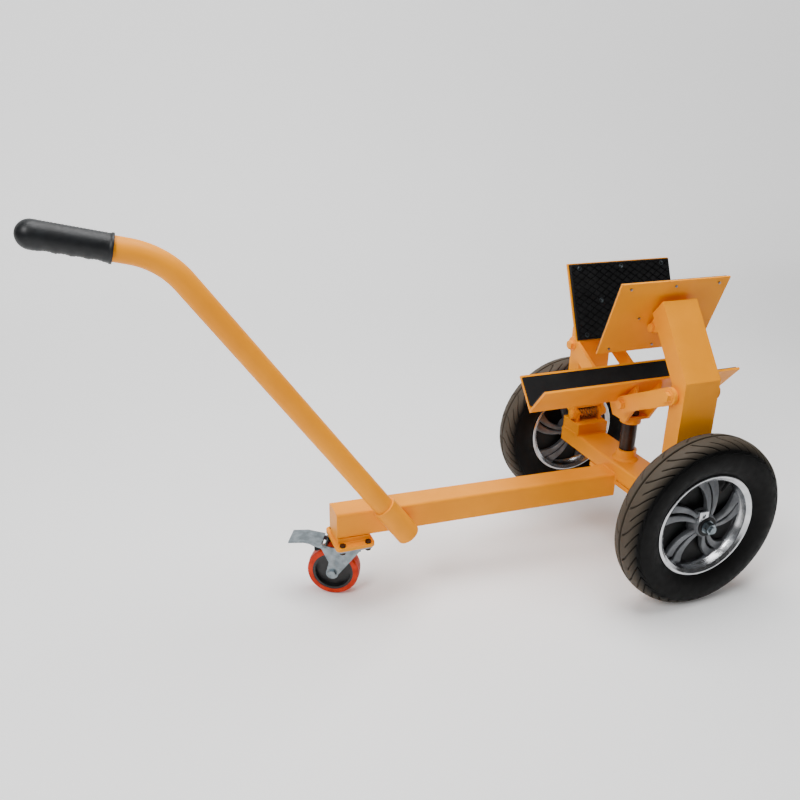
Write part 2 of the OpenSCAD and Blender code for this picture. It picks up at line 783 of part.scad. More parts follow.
module castor_axle_bolt() {
    y1 = leg_y + leg_t;
    color(zinc) on_castor() translate([-castor_trail, 0, castor_r]) rotate([90, 0, 0]) {
        translate([0, 0, -y1 - 3]) cylinder(h = 2 * y1 + 6, r = 6);
        translate([0, 0, y1]) hex(19, 7);
        translate([0, 0, -y1 - 8]) hex(19, 8);
    }
}

// Puts its children about the castor wheel's axle, with +Z along it
module on_castor_axle() {
    on_castor() translate([-castor_trail, 0, castor_r]) rotate([90, 0, 0]) children();
}

module castor_core() {
    rim_in = castor_r - 20;
    w = castor_w / 2;
    color(black) on_castor_axle() difference() {
        union() {
            cylinder(h = 2 * w - 2, r = castor_r - 14, center = true);
        }
        for (s = [-1, 1]) translate([0, 0, s * (w - 4)]) difference() {
            cylinder(h = 18, r = rim_in, center = true);
            cylinder(h = 19, r = 16, center = true);
        }
        cylinder(h = 2 * w + 2, r = 9, center = true);
    }
}

module castor_tread() {
    w = castor_w / 2;
    c = 4;
    color("orangered") on_castor_axle() rotate_extrude() polygon([
        [castor_r - 14, -w + 1], [castor_r - 14, -w], [castor_r - c, -w], [castor_r - 1, -w + c], [castor_r, 0],
        [castor_r - 1, w - c], [castor_r - c, w], [castor_r - 14, w], [castor_r - 14, w - 1]]);
}

module castor_bushing() {
    half = leg_y - face_gap;
    color(zinc) on_castor_axle() difference() {
        cylinder(h = 2 * half, r = 9, center = true);
        cylinder(h = 2 * half + 2, r = 6 + run_gap, center = true);
    }
}

// Pedal plate and its two cheeks, in the castor's X-Z plane
module brake_pedal() {
    cheek = leg_y - 1;
    color(zinc) on_castor() difference() {
        union() {
            slab_y(-28, 28) polygon([[brake_x - 8, brake_z + 7], [brake_x - 8, brake_z + 10],
                [brake_x - 50, brake_z + 16], [brake_x - 87, brake_z + 12], [brake_x - 87, brake_z + 9],
                [brake_x - 50, brake_z + 13]]);
            for (s = [-1, 1]) slab_y(s * (cheek - 1.5) - 1.5, s * (cheek - 1.5) + 1.5) union() {
                translate([brake_x, brake_z]) circle(r = 6);
                polygon([[brake_x, brake_z - 6], [brake_x, brake_z + 6], [brake_x - 8.5, brake_z + 9],
                    [brake_x - 50, brake_z + 14], [brake_x - 28, brake_z + 2]]);
            }
        }
        translate([brake_x, 40, brake_z]) rotate([90, 0, 0]) cylinder(h = 80, r = brake_pin_r + run_gap);
    }
}

module brake_shoe() {
    cheek = leg_y - 4;
    x0 = brake_x - 26;
    lift = 4;
    color(black) on_castor() difference() {
        slab_y(-cheek, cheek) polygon([[x0, brake_z - 12], [x0 + 16, brake_z - 12],
            [x0 + 16, brake_z + 7.2], [x0, brake_z + 9.4]]);
        translate([-castor_trail, 0, castor_r]) rotate([90, 0, 0])
            cylinder(h = 2 * castor_w, r = castor_r + lift, center = true);
    }
}

module brake_pin() {
    y1 = leg_y + leg_t;
    color(zinc) on_castor() translate([brake_x, 0, brake_z]) rotate([90, 0, 0]) {
        cylinder(h = 2 * y1, r = brake_pin_r, center = true);
        for (s = [-1, 1]) translate([0, 0, s * (y1 + 1)]) cylinder(h = 2, r = 5, center = true);
    }
}

// ---------------------------------------------------------------- main wheels

// Puts its children on the near axle, with +Z pointing outwards along it
module on_axle(far) {
    on_side(far) translate([0, -track / 2, axle_z]) rotate([90, 0, 0]) children();
}

module spindle(far) {
    inside = track / 2 - beam_end + 18;
    color(zinc) on_axle(far) union() {
        translate([0, 0, -inside]) cylinder(h = inside - hub_half - 5, r = spindle_root_r);
        translate([0, 0, -hub_half - 5]) cylinder(h = 5 - face_gap, r = 15);
        translate([0, 0, -hub_half - face_gap]) cylinder(h = 2 * hub_half + 2 * face_gap, r = spindle_d / 2);
        translate([0, 0, hub_half + face_gap]) cylinder(h = shoulder, r = 8);
    }
}

module axle_nuts() {
    color(zinc) for (far = [false, true]) on_axle(far) translate([0, 0, hub_half + face_gap]) difference() {
        union() {
            cylinder(h = 3, r = 16);
            translate([0, 0, 3]) hex(24, nut_h);
        }
        translate([0, 0, -1]) cylinder(h = nut_h + 5, r = 8);
    }
}

// Section of the tyre: bead, round side wall and crowned tread, up to the crown's middle
function tyre_half() = concat(
    [[rim_d / 2 - 9, rim_w / 2 - 6], [rim_d / 2 + 4, rim_w / 2 - 5.5]],
    [for (a = [-60:15:45]) [wheel_d / 2 - 50 + 28 * sin(a), tyre_w / 2 - 14 + 14 * cos(a)]],
    [for (i = [6:-1:1]) [wheel_d / 2 - 0.24 * i * i, tyre_w / 2 * 0.13 * i]]);

module tyre(far) {
    seat = rim_d / 2 - 9;
    half = tyre_half();
    n = len(half);
    color([0.12, 0.12, 0.12]) on_axle(far) rotate_extrude() difference() {
        polygon(concat(half, [[wheel_d / 2, 0]], [for (i = [n - 1:-1:0]) [half[i][0], -half[i][1]]]));
        // Air space, open to the rim
        translate([wheel_d / 2 - 47, 0]) circle(r = 30);
        translate([seat - 1, -rim_w / 2 + 18]) square([wheel_d / 2 - 47 - seat, rim_w - 36]);
    }
}

// Section of the rim's barrel, with a well in its middle
module rim_section() {
    lip = rim_d / 2;
    seat = lip - 9;
    well = seat - 9;
    half = rim_w / 2;
    polygon([
        [lip, half], [lip, half - 4], [seat, half - 6], [seat, 12], [well, 7],
        [well, -7], [seat, -12], [seat, -half + 6], [lip, -half + 4], [lip, -half],
        [seat - 3, -half], [seat - 6, -12], [well - 5, -8],
        [well - 5, 8], [seat - 6, 12], [seat - 3, half]]);
}

// One curved spoke blade that sweeps by the angle turn from hub to barrel
function blade_pt(u, turn, off) = let (
    r = hub_r - 3 + (rim_d / 2 - 16 - hub_r) * u,
    a = turn * u * u + off / r * 57.3)
    [r * cos(a), r * sin(a)];

module spoke_blade(turn, w0, w1) {
    n = 6;
    polygon(concat(
        [for (i = [0:n]) blade_pt(i / n, turn, w0 + (w1 - w0) * i / n)],
        [for (i = [n:-1:0]) blade_pt(i / n, turn, -w0 - (w1 - w0) * i / n)]));
}

module rim(far) {
    // Blades of the two wheels are mirror images of each other
    at = far ? spoke_at : spoke_near_at;
    turn = far ? -spoke_sweep : spoke_sweep;
    color("silver") on_axle(far) difference() {
        union() {
            rotate_extrude() rim_section();
            cylinder(h = 2 * hub_half, r = hub_r, center = true);
            for (i = [0:4]) rotate(72 * i + at) for (s = [-1, 1]) rotate(s * 11)
                translate([0, 0, -6.5]) linear_extrude(16) spoke_blade(turn, 5, 12);
            // Closed web between the spokes
            cylinder(h = 3, r = rim_d / 2 - 20.5, center = true);
        }
        for (s = [-1, 1]) translate([0, 0, s * (hub_half - bearing_w / 2 + 1)])
            cylinder(h = bearing_w + 2, r = bearing_d / 2, center = true);
        cylinder(h = 2 * hub_half, r = bearing_d / 2 - 4, center = true);
        // Valve hole in the barrel
        rotate(valve_at) translate([rim_d / 2 - 30, 0, 9]) rotate([0, 90, 0]) cylinder(h = 40, r = 4);
    }
}

module bearings(far) {
    color(zinc) on_axle(far) for (s = [-1, 1]) translate([0, 0, s * (hub_half - bearing_w / 2)]) difference() {
        cylinder(h = bearing_w, r = bearing_d / 2, center = true);
        cylinder(h = bearing_w + 2, r = spindle_d / 2 + run_gap, center = true);
        for (t = [-1, 1]) translate([0, 0, t * bearing_w / 2]) difference() {
            cylinder(h = 2, r = bearing_d / 2 - 4, center = true);
            cylinder(h = 3, r = spindle_d / 2 + 4, center = true);
        }
    }
}

module valve(far) {
    color(black) on_axle(far) rotate(valve_at) translate([rim_d / 2 - 30, 0, 9]) rotate([0, 90, 0]) union() {
        translate([0, 0, -8]) cylinder(h = 26, r = 4);
        translate([0, 0, -14]) cylinder(h = 8, r = 3);
    }
}

// ---------------------------------------------------------------- the nodes

placed() cross_beam();
placed() beam_end_plates();
placed() joint_plate();
placed() drawbar();
placed() drawbar_end_plate();
placed() castor_riser();
placed() castor_flange();
placed() flange_bolts();
placed() handle_socket();
placed() guide_sleeve();
placed() hinge_block(false);  // near_hinge_block
placed() hinge_block(true);  // far_hinge_block
placed() hinge_pins();
placed() hinge_springs();
placed() spindle(false);  // near_spindle
placed() spindle(true);  // far_spindle
placed() axle_nuts();
placed() castor_plate();
placed() king_pin();
placed() arm(false);  // near_arm
placed() arm(true);  // far_arm
placed() arm_cap(false);  // near_arm_cap
placed() arm_cap(true);  // far_arm_cap
placed() link_bolt(false);  // near_link_bolt
placed() link_bolt(true);  // far_link_bolt
placed() pad_pin(false);  // near_pad_pin
placed() pad_pin(true);  // far_pad_pin
placed() pad_plate(false);  // near_pad_plate
placed() pad_plate(true);  // far_pad_plate
placed() pad_rubber(false);  // near_pad_rubber
placed() pad_rubber(true);  // far_pad_rubber
placed() pad_screws(false);  // near_pad_screws
placed() pad_screws(true);  // far_pad_screws
placed() link_bar(false, false);  // near_front_link
placed() link_bar(false, true);  // near_rear_link
placed() link_bar(true, false);  // far_front_link
placed() link_bar(true, true);  // far_rear_link
placed() trough();
placed() trough_lining();
placed() trough_hanger();
placed() guide_rod();
placed() trough_bolts();
placed() handle_tube();
placed() handle_grip();
placed() castor_fork();
placed() castor_axle_bolt();
placed() castor_core();
placed() castor_tread();
placed() castor_bushing();
placed() brake_pedal();
placed() brake_shoe();
placed() brake_pin();
placed() tyre(false);  // near_tyre
placed() tyre(true);  // far_tyre
placed() rim(false);  // near_rim
placed() rim(true);  // far_rim
placed() bearings(false);  // near_bearings
placed() bearings(true);  // far_bearings
placed() valve(false);  // near_valve
placed() valve(true);  // far_valve
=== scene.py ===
"""Looks for the self-clamping slab dolly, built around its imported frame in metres.

Each sub-assembly is a class with its sizes in millimetres as fields. Its build method makes the
meshes, and main() builds the classes in order, dresses the frame's own nodes and sets the stage.
"""

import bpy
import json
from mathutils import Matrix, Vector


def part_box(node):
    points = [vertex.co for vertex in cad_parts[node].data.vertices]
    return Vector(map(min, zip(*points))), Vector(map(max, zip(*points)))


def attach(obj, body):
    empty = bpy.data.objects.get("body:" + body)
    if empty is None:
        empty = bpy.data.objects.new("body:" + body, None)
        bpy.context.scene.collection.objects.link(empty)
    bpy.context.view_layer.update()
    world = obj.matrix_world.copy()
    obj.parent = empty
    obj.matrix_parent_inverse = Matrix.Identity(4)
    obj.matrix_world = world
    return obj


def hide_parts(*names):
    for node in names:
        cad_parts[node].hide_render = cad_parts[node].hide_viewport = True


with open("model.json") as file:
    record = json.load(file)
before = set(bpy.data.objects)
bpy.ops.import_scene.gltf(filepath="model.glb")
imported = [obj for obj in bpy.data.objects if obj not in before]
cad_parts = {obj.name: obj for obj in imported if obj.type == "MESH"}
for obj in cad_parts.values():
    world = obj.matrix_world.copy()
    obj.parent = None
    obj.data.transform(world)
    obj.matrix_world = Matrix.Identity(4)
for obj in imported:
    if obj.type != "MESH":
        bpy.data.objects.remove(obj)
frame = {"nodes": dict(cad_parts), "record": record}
import json
import logging
import math
from collections.abc import Callable, Iterable, Iterator, Sequence
from contextlib import contextmanager
from dataclasses import dataclass, field
from enum import Enum
from itertools import pairwise

import bmesh
import bpy
from mathutils import Matrix, Quaternion, Vector

MM = 0.001
WHEEL_AXIS = (0.0, 1.0, 0.0)
WORLD_ORIGIN = (0.0, 0.0, 0.0)
FACING = 0.9
WELD_TOLERANCE = 0.01 * MM
LOG = logging.getLogger("slab_dolly")


class Side(Enum):
    """The two sides of the dolly: the handle stands on the near one."""

    NEAR = -1
    FAR = 1

    @property
    def word(self) -> str:
        """The side's name, as the frame's nodes and bodies begin."""
        return self.name.lower()

    def node(self, rest: str) -> str:
        """The name of this side's node, body or piece called rest."""
        return f"{self.word}_{rest}"


# ------------------------------------------------------------------ modelling helpers


def activate(obj: bpy.types.Object) -> None:
    """Selects one object alone and makes it the active one.

    Args:
        obj: The object to work on.
    """
    if bpy.context.mode != "OBJECT":
        bpy.ops.object.mode_set(mode="OBJECT")
    bpy.ops.object.select_all(action="DESELECT")
    obj.select_set(True)
    bpy.context.view_layer.objects.active = obj


@contextmanager
def editing(obj: bpy.types.Object, everything: bool = True) -> Iterator[None]:
    """Keeps an object in edit mode for the length of a with block.

    Args:
        obj: The mesh object to edit.
        everything: True to start with all of it selected, False with nothing.
    """
    activate(obj)
    bpy.ops.object.mode_set(mode="EDIT")
    bpy.ops.mesh.select_mode(type="VERT")
    bpy.ops.mesh.select_all(action="SELECT" if everything else "DESELECT")
    yield
    bpy.ops.object.mode_set(mode="OBJECT")


def pick_faces(obj: bpy.types.Object, wanted: Callable[[Vector, Vector], bool]) -> None:
    """Selects the faces of an object in edit mode by their middle and normal.

    Args:
        obj: The object in edit mode.
        wanted: Says yes to a face's middle and normal, in metres.
    """
    bpy.ops.mesh.select_mode(type="FACE")
    mesh = bmesh.from_edit_mesh(obj.data)
    for face in mesh.faces:
        face.select_set(wanted(face.calc_center_median(), face.normal))
    bmesh.update_edit_mesh(obj.data)


def pick_points(obj: bpy.types.Object, wanted: Callable[[Vector], bool]) -> None:
    """Selects the vertices of an object in edit mode by their place.

    Args:
        obj: The object in edit mode.
        wanted: Says yes to a vertex's place, in metres.
    """
    bpy.ops.mesh.select_mode(type="VERT")
    mesh = bmesh.from_edit_mesh(obj.data)
    for vertex in mesh.verts:
        vertex.select_set(wanted(vertex.co))
    mesh.select_flush_mode()
    bmesh.update_edit_mesh(obj.data)


def settle(obj: bpy.types.Object) -> bpy.types.Object:
    """Puts an object's origin at the world's, with its place in its mesh.

    Args:
        obj: The object to settle.

    Returns:
        The same object.
    """
    activate(obj)
    bpy.ops.object.transform_apply(location=True, rotation=True, scale=True)
    return obj


def finish_with(obj: bpy.types.Object, kind: str, **settings: object) -> None:
    """Adds a modifier with its settings and applies it.

    Args:
        obj: The object to finish.
        kind: The modifier's type.
        settings: The modifier's fields.
    """
    activate(obj)
    modifier = obj.modifiers.new(kind.lower(), kind)
    for key, value in settings.items():
        setattr(modifier, key, value)
    bpy.ops.object.modifier_apply(modifier=modifier.name)


def smooth(obj: bpy.types.Object, degrees: float = 35.0) -> None:
    """Shades an object smooth, with creases sharper than an angle kept."""
    activate(obj)
    bpy.ops.object.shade_smooth_by_angle(angle=math.radians(degrees))


def joined(name: str, parts: Sequence[bpy.types.Object]) -> bpy.types.Object:
    """Joins parts into one object.

    Args:
        name: The name that the object gets.
        parts: The objects to join, in order.

    Returns:
        The joined object.
    """
    activate(parts[0])
    for part in parts[1:]:
        part.select_set(True)
    if len(parts) > 1:
        bpy.ops.object.join()
    whole = bpy.context.view_layer.objects.active
    whole.name = name
    return whole


def turned(
    name: str, profile: Sequence[tuple[float, float]], steps: int = 96, closed: bool = False
) -> bpy.types.Object:
    """Turns a profile about the Y axis, as on a lathe.

    Args:
        name: The object's name.
        profile: Points as (radius, distance along Y) in millimetres, in order.
        steps: How many steps make the full turn.
        closed: True if the last point joins up with the first.

    Returns:
        The turned object, at the origin.
    """
    points = [Vector((radius * MM, along * MM, 0.0)) for radius, along in profile]
    if closed:
        points.append(points[0])
    bpy.ops.mesh.primitive_plane_add(size=MM, location=points[0])
    obj = bpy.context.object
    obj.name = name
    with editing(obj):
        bpy.ops.mesh.merge(type="CENTER")
        for here, there in pairwise(points):
            bpy.ops.mesh.extrude_region_move(TRANSFORM_OT_translate={"value": there - here})
        bpy.ops.mesh.select_all(action="SELECT")
        bpy.ops.mesh.spin(steps=steps, angle=math.tau, center=WORLD_ORIGIN, axis=WHEEL_AXIS)
        bpy.ops.mesh.select_all(action="SELECT")
        bpy.ops.mesh.remove_doubles(threshold=WELD_TOLERANCE)
        bpy.ops.mesh.normals_make_consistent(inside=False)
    return settle(obj)


def box_between(name: str, low: Vector, high: Vector, round_mm: float = 1.0) -> bpy.types.Object:
    """A box between two corners, with its edges rounded.

    Args:
        name: The object's name.
        low: The lowest corner, in metres.
        high: The highest corner, in metres.
        round_mm: The radius of its edges.

    Returns:
        The rounded box.
    """
    bpy.ops.mesh.primitive_cube_add(size=1.0, location=(low + high) / 2, scale=high - low)
    obj = bpy.context.object
    obj.name = name
    settle(obj)
    finish_with(obj, "BEVEL", width=round_mm * MM, segments=3, limit_method="ANGLE")
    smooth(obj)
    return obj


def dress(obj: bpy.types.Object, look: bpy.types.Material) -> None:
    """Gives every face of an object one material.

    Args:
        obj: The object to dress.
        look: The material that it gets.
    """
    if not obj.material_slots:
        obj.data.materials.append(look)
    for slot in obj.material_slots:
        slot.material = look


# ------------------------------------------------------------------ finishes


def linear(hex_colour: str) -> tuple[float, float, float, float]:
    """Turns an sRGB hex value into a linear colour.

    Args:
        hex_colour: Six hex digits after a #.

    Returns:
        Red, green, blue and an alpha of 1.
    """
    values = [int(hex_colour[i : i + 2], 16) / 255 for i in (1, 3, 5)]
    parts = [v / 12.92 if v <= 0.04045 else ((v + 0.055) / 1.055) ** 2.4 for v in values]
    return (parts[0], parts[1], parts[2], 1.0)


def per_mm(size_mm: float) -> float:
    """The scale of a pattern whose features are size_mm across, on coordinates in metres."""
    return 1.0 / (size_mm * MM)


def add(
    tree: bpy.types.NodeTree, kind: str, inputs: dict | None = None, **settings: object
) -> bpy.types.Node:
    """Adds a node with its settings, and sets or links its inputs.

    Args:
        tree: The material's node tree.
        kind: The node's type name, without its ShaderNode prefix.
        inputs: For each input's name or number, a value or an output socket to link.
        settings: The node's own fields.

    Returns:
        The new node.
    """
    node = tree.nodes.new(f"ShaderNode{kind}")
    for key, value in settings.items():
        setattr(node, key, value)
    for key, value in (inputs or {}).items():
        if isinstance(value, bpy.types.NodeSocket):
            tree.links.new(value, node.inputs[key])
        else:
            node.inputs[key].default_value = value
    return node


def ramp(
    tree: bpy.types.NodeTree, factor: bpy.types.NodeSocket, stops: Sequence[tuple[float, str]]
) -> bpy.types.NodeSocket:
    """Colours a factor through a ramp of two hex stops.

    Args:
        tree: The node tree.
        factor: The factor to colour.
        stops: Each stop's place and its hex colour.

    Returns:
        The colour's socket.
    """
    node = add(tree, "ValToRGB", {"Fac": factor})
    for element, (place, colour) in zip(node.color_ramp.elements, stops):
        element.position = place
        element.color = linear(colour)
    return node.outputs["Color"]


@dataclass(frozen=True)
class Finish:
    """What every finish has: two shades that drift into each other, gloss and a surface grain."""

    name: str
    light: str
    dark: str
    metallic: float = 0.0
    rough_low: float = 0.4
    rough_high: float = 0.5
    drift_mm: float = 60.0
    grain_mm: float = 4.0
    grain_depth_mm: float = 0.05
    shine: float = 0.5

    def start(self) -> tuple[bpy.types.Material, bpy.types.NodeTree, bpy.types.NodeSocket]:
        """Makes an empty material.

        Returns:
            The material, its node tree and its object coordinates.
        """
        look = bpy.data.materials.new(self.name)
        look.use_nodes = True
        look.node_tree.nodes.clear()
        place = add(look.node_tree, "TexCoord").outputs["Object"]
        return look, look.node_tree, place

    def colour(self, tree: bpy.types.NodeTree, place: bpy.types.NodeSocket) -> bpy.types.NodeSocket:
        """The finish's colour, drifting between its two shades.

        Args:
            tree: The node tree.
            place: The coordinates to read.

        Returns:
            The colour's socket.
        """
        cloud = add(tree, "TexNoise", {"Vector": place, "Scale": per_mm(self.drift_mm), "Detail": 4.0})
        return ramp(tree, cloud.outputs["Fac"], [(0.35, self.dark), (0.65, self.light)])

    def height(self, tree: bpy.types.NodeTree, place: bpy.types.NodeSocket) -> bpy.types.NodeSocket:
        """The finish's surface grain as a height.

        Args:
            tree: The node tree.
            place: The coordinates to read.

        Returns:
            The height's socket.
        """
        grain = add(tree, "TexNoise", {"Vector": place, "Scale": per_mm(self.grain_mm), "Detail": 3.0})
        return grain.outputs["Fac"]

    def glow(self, tree: bpy.types.NodeTree, place: bpy.types.NodeSocket) -> bpy.types.NodeSocket | float:
        """The surface's own light, which is none for every part of the dolly."""
        return 0.0

    def material(self) -> bpy.types.Material:
        """Builds the material.

        Returns:
            The finished material.
        """
        look, tree, place = self.start()
        smudge = add(tree, "TexNoise", {"Vector": place, "Scale": per_mm(self.drift_mm / 3), "Detail": 6.0})
        gloss = add(
            tree,
            "MapRange",
            {
                "Value": smudge.outputs["Fac"],
                "From Min": 0.3,
                "From Max": 0.7,
                "To Min": self.rough_low,
                "To Max": self.rough_high,
            },
        )
        bump = add(
            tree,
            "Bump",
            {"Height": self.height(tree, place), "Strength": 1.0, "Distance": self.grain_depth_mm * MM},
        )
        shader = add(
            tree,
            "BsdfPrincipled",
            {
                "Base Color": self.colour(tree, place),
                "Metallic": self.metallic,
                "Roughness": gloss.outputs["Result"],
                "Normal": bump.outputs["Normal"],
                "Specular IOR Level": self.shine,
                "Emission Color": linear("#FFFFFF"),
                "Emission Strength": self.glow(tree, place),
            },
        )
        add(tree, "OutputMaterial", {"Surface": shader.outputs["BSDF"]})
        return look


@dataclass(frozen=True)
class EnamelledSteel(Finish):
    """Sprayed enamel on welded steel, with a soft orange peel and a few rubbed, dusty patches."""

    rubbed: str = "#8E4F16"
    mark_mm: float = 9.0

    def colour(self, tree: bpy.types.NodeTree, place: bpy.types.NodeSocket) -> bpy.types.NodeSocket:
        """The paint's colour, with small rubbed marks through it.

        Args:
            tree: The node tree.
            place: The coordinates to read.

        Returns:
            The colour's socket.
        """
        paint = super().colour(tree, place)
        scratches = add(
            tree,
            "TexNoise",
            {"Vector": place, "Scale": per_mm(self.mark_mm), "Detail": 8.0, "Roughness": 0.65},
        )
        marks = add(
            tree,
            "MapRange",
            {"Value": scratches.outputs["Fac"], "From Min": 0.68, "From Max": 0.76, "To Max": 0.45},
        )
        return mixed(tree, marks.outputs["Result"], paint, self.rubbed)


def mixed(
    tree: bpy.types.NodeTree, factor: bpy.types.NodeSocket, colour: bpy.types.NodeSocket, other: str
) -> bpy.types.NodeSocket:
    """Mixes a hex colour into a colour by a factor.

    Args:
        tree: The node tree.
        factor: How much of the other colour there is.
        colour: The first colour.
        other: The second colour, as a hex value.

    Returns:
        The mixed colour's socket.
    """
    node = add(tree, "Mix", data_type="RGBA")
    tree.links.new(factor, node.inputs[0])
    tree.links.new(colour, node.inputs[6])
    node.inputs[7].default_value = linear(other)
    return node.outputs[2]


@dataclass(frozen=True)
class DustyTyre(Finish):
    """Moulded tyre rubber: black side walls, and a tread that dust has turned a warm grey."""

    centre: tuple[float, float, float] = (0.0, 0.0, 0.0)
    clean_radius_mm: float = 196.0
    crown_radius_mm: float = 212.0
    dust: str = "#4E463C"

    def colour(self, tree: bpy.types.NodeTree, place: bpy.types.NodeSocket) -> bpy.types.NodeSocket:
        """The rubber's colour, with dust where the tread is.

        Args:
            tree: The node tree.
            place: The coordinates to read.

        Returns:
            The colour's socket.
        """
        rubber = super().colour(tree, place)
        flat = add(
            tree,
            "Mapping",
            {"Vector": place, "Location": (-self.centre[0], 0.0, -self.centre[2]), "Scale": (1, 0, 1)},
        )
        reach = add(tree, "VectorMath", {0: flat.outputs["Vector"]}, operation="LENGTH")
        tread = add(
            tree,
            "MapRange",
            {
                "Value": reach.outputs["Value"],
                "From Min": self.clean_radius_mm * MM,
                "From Max": self.crown_radius_mm * MM,
                "To Max": 0.8,
            },
        )
        return mixed(tree, tread.outputs["Result"], rubber, self.dust)


@dataclass(frozen=True)
class TurnedAlloy(Finish):
    """Cast alloy faced on a lathe: bright, with fine rings round the axle."""

    centre: tuple[float, float, float] = (0.0, 0.0, 0.0)
    ring_mm: float = 1.6

    def height(self, tree: bpy.types.NodeTree, place: bpy.types.NodeSocket) -> bpy.types.NodeSocket:
        """Rings round the axle, drawn as coarse as they need to be to show.

        Args:
            tree: The node tree.
            place: The coordinates to read.

        Returns:
            The height's socket.
        """
        moved = add(
            tree,
            "Mapping",
            {"Vector": place, "Location": (-self.centre[0], -self.centre[1], -self.centre[2])},
        )
        rings = add(
            tree,
            "TexWave",
            {
                "Vector": moved.outputs["Vector"],
                "Scale": per_mm(self.ring_mm) / math.tau,
                "Distortion": 0.4,
            },
            wave_type="RINGS",
            rings_direction="Y",
        )
        return rings.outputs["Fac"]


@dataclass(frozen=True)
class LitBackdrop(Finish):
    """Matt backdrop paper, lit from behind and more so further back, so the wall looks even."""

    front: float = 0.10
    back: float = 0.85

    def glow(self, tree: bpy.types.NodeTree, place: bpy.types.NodeSocket) -> bpy.types.NodeSocket:
        """The light through the paper, which grows from just behind the dolly to the wall.

        Args:
            tree: The node tree.
            place: The coordinates to read.

        Returns:
            The light's socket.
        """
        depth = add(tree, "SeparateXYZ", {"Vector": place}).outputs["Y"]
        light = add(
            tree,
            "MapRange",
            {"Value": depth, "From Min": 0.2, "From Max": 5.0, "To Min": self.front, "To Max": self.back},
            interpolation_type="SMOOTHSTEP",
        )
        return light.outputs["Result"]


class Looks:
    """Every finish of the dolly, each made once."""

    def __init__(self, wheel_centre: Vector, castor_centre: Vector) -> None:
        """Makes the materials.

        Args:
            wheel_centre: A point on the main axle.
            castor_centre: The middle of the castor wheel; it is not used.
        """
        axle = tuple(wheel_centre)
        # Sprayed orange enamel: an even, satin orange with a faint peel in its highlights
        self.paint = EnamelledSteel(
            "orange_enamel_on_steel", "#F59A00", "#EA9000", rough_low=0.36, rough_high=0.50,
            drift_mm=140, grain_mm=7.0, grain_depth_mm=0.10, shine=0.15,
        ).material()
        # Plated pressed steel: a cool bluish grey shine that shifts in small clouds
        self.zinc = Finish(
            "bright_zinc_plate", "#8E979C", "#6F787D", metallic=1.0, rough_low=0.26, rough_high=0.42,
            drift_mm=18, grain_mm=2.5, grain_depth_mm=0.03,
        ).material()
        # Hard-drawn wire caught by the paint spray: orange on top, brown steel below
        self.spring = Finish(
            "oversprayed_spring_steel", "#C9802E", "#6B4A2A", metallic=0.35, rough_low=0.35, rough_high=0.5,
            drift_mm=7, grain_mm=2.0, grain_depth_mm=0.05,
        ).material()
        # Painted shade: black on the rim's web, standing in for the shadow in the gaps between the bright
        # spokes
        self.black = Finish(
            "painted_shade_black", "#0E0E0F", "#080808", rough_low=0.4, rough_high=0.55,
            drift_mm=40, grain_mm=3.0, grain_depth_mm=0.05, shine=0.2,
        ).material()
        # Oiled black bar: a dull brown gleam along the guide rod and bolts
        self.rod = Finish(
            "blackened_steel_rod", "#3A2B22", "#231A15", metallic=0.6, rough_low=0.32, rough_high=0.5,
            drift_mm=30, grain_mm=3.0, grain_depth_mm=0.04,
        ).material()
        # Moulded rubber sheet: matt black, broken only by its raised diamonds
        self.rubber = Finish(
            "moulded_black_rubber", "#141415", "#0D0D0E", rough_low=0.5, rough_high=0.66,
            drift_mm=40, grain_mm=2.5, grain_depth_mm=0.12, shine=0.2,
        ).material()
        # Soft moulded rubber: near black, with a broad, dim highlight
        self.grip = Finish(
            "soft_grip_rubber", "#1B1D1F", "#121315", rough_low=0.36, rough_high=0.5,
            drift_mm=25, grain_mm=2.0, grain_depth_mm=0.10, shine=0.3,
        ).material()
        # Moulded tyre rubber: deep black walls, and dust that greys the tread
        self.tyre = DustyTyre(
            "moulded_tyre_rubber", "#090909", "#050505", rough_low=0.50, rough_high=0.66,
            drift_mm=50, grain_mm=3.0, grain_depth_mm=0.15, shine=0.12, centre=axle,
        ).material()
        # Alloy faced on a lathe: a bright lip with fine rings in its reflections
        self.lip = TurnedAlloy(
            "lathe_turned_alloy", "#D9DADC", "#B6B8BB", metallic=1.0, rough_low=0.16, rough_high=0.28,
            drift_mm=35, grain_depth_mm=0.04, centre=axle,
        ).material()
        # Silver paint on a casting: a soft grey metal with no sharp reflections
        self.cast = Finish(
            "silver_painted_casting", "#6C6E71", "#55575A", metallic=0.6, rough_low=0.32, rough_high=0.46,
            drift_mm=30, grain_mm=2.0, grain_depth_mm=0.06,
        ).material()
        # Cast polyurethane: a saturated orange red with a waxy highlight
        self.tread = Finish(
            "cast_polyurethane", "#CC3208", "#B02504", rough_low=0.42, rough_high=0.58,
            drift_mm=25, grain_mm=3.0, grain_depth_mm=0.08, shine=0.2,
        ).material()
        # Moulded nylon: a flat, very dark grey
        self.core = Finish(
            "moulded_nylon_core", "#232324", "#19191A", rough_low=0.4, rough_high=0.52,
            drift_mm=20, grain_mm=2.0, grain_depth_mm=0.06,
        ).material()


# ------------------------------------------------------------------ main wheels


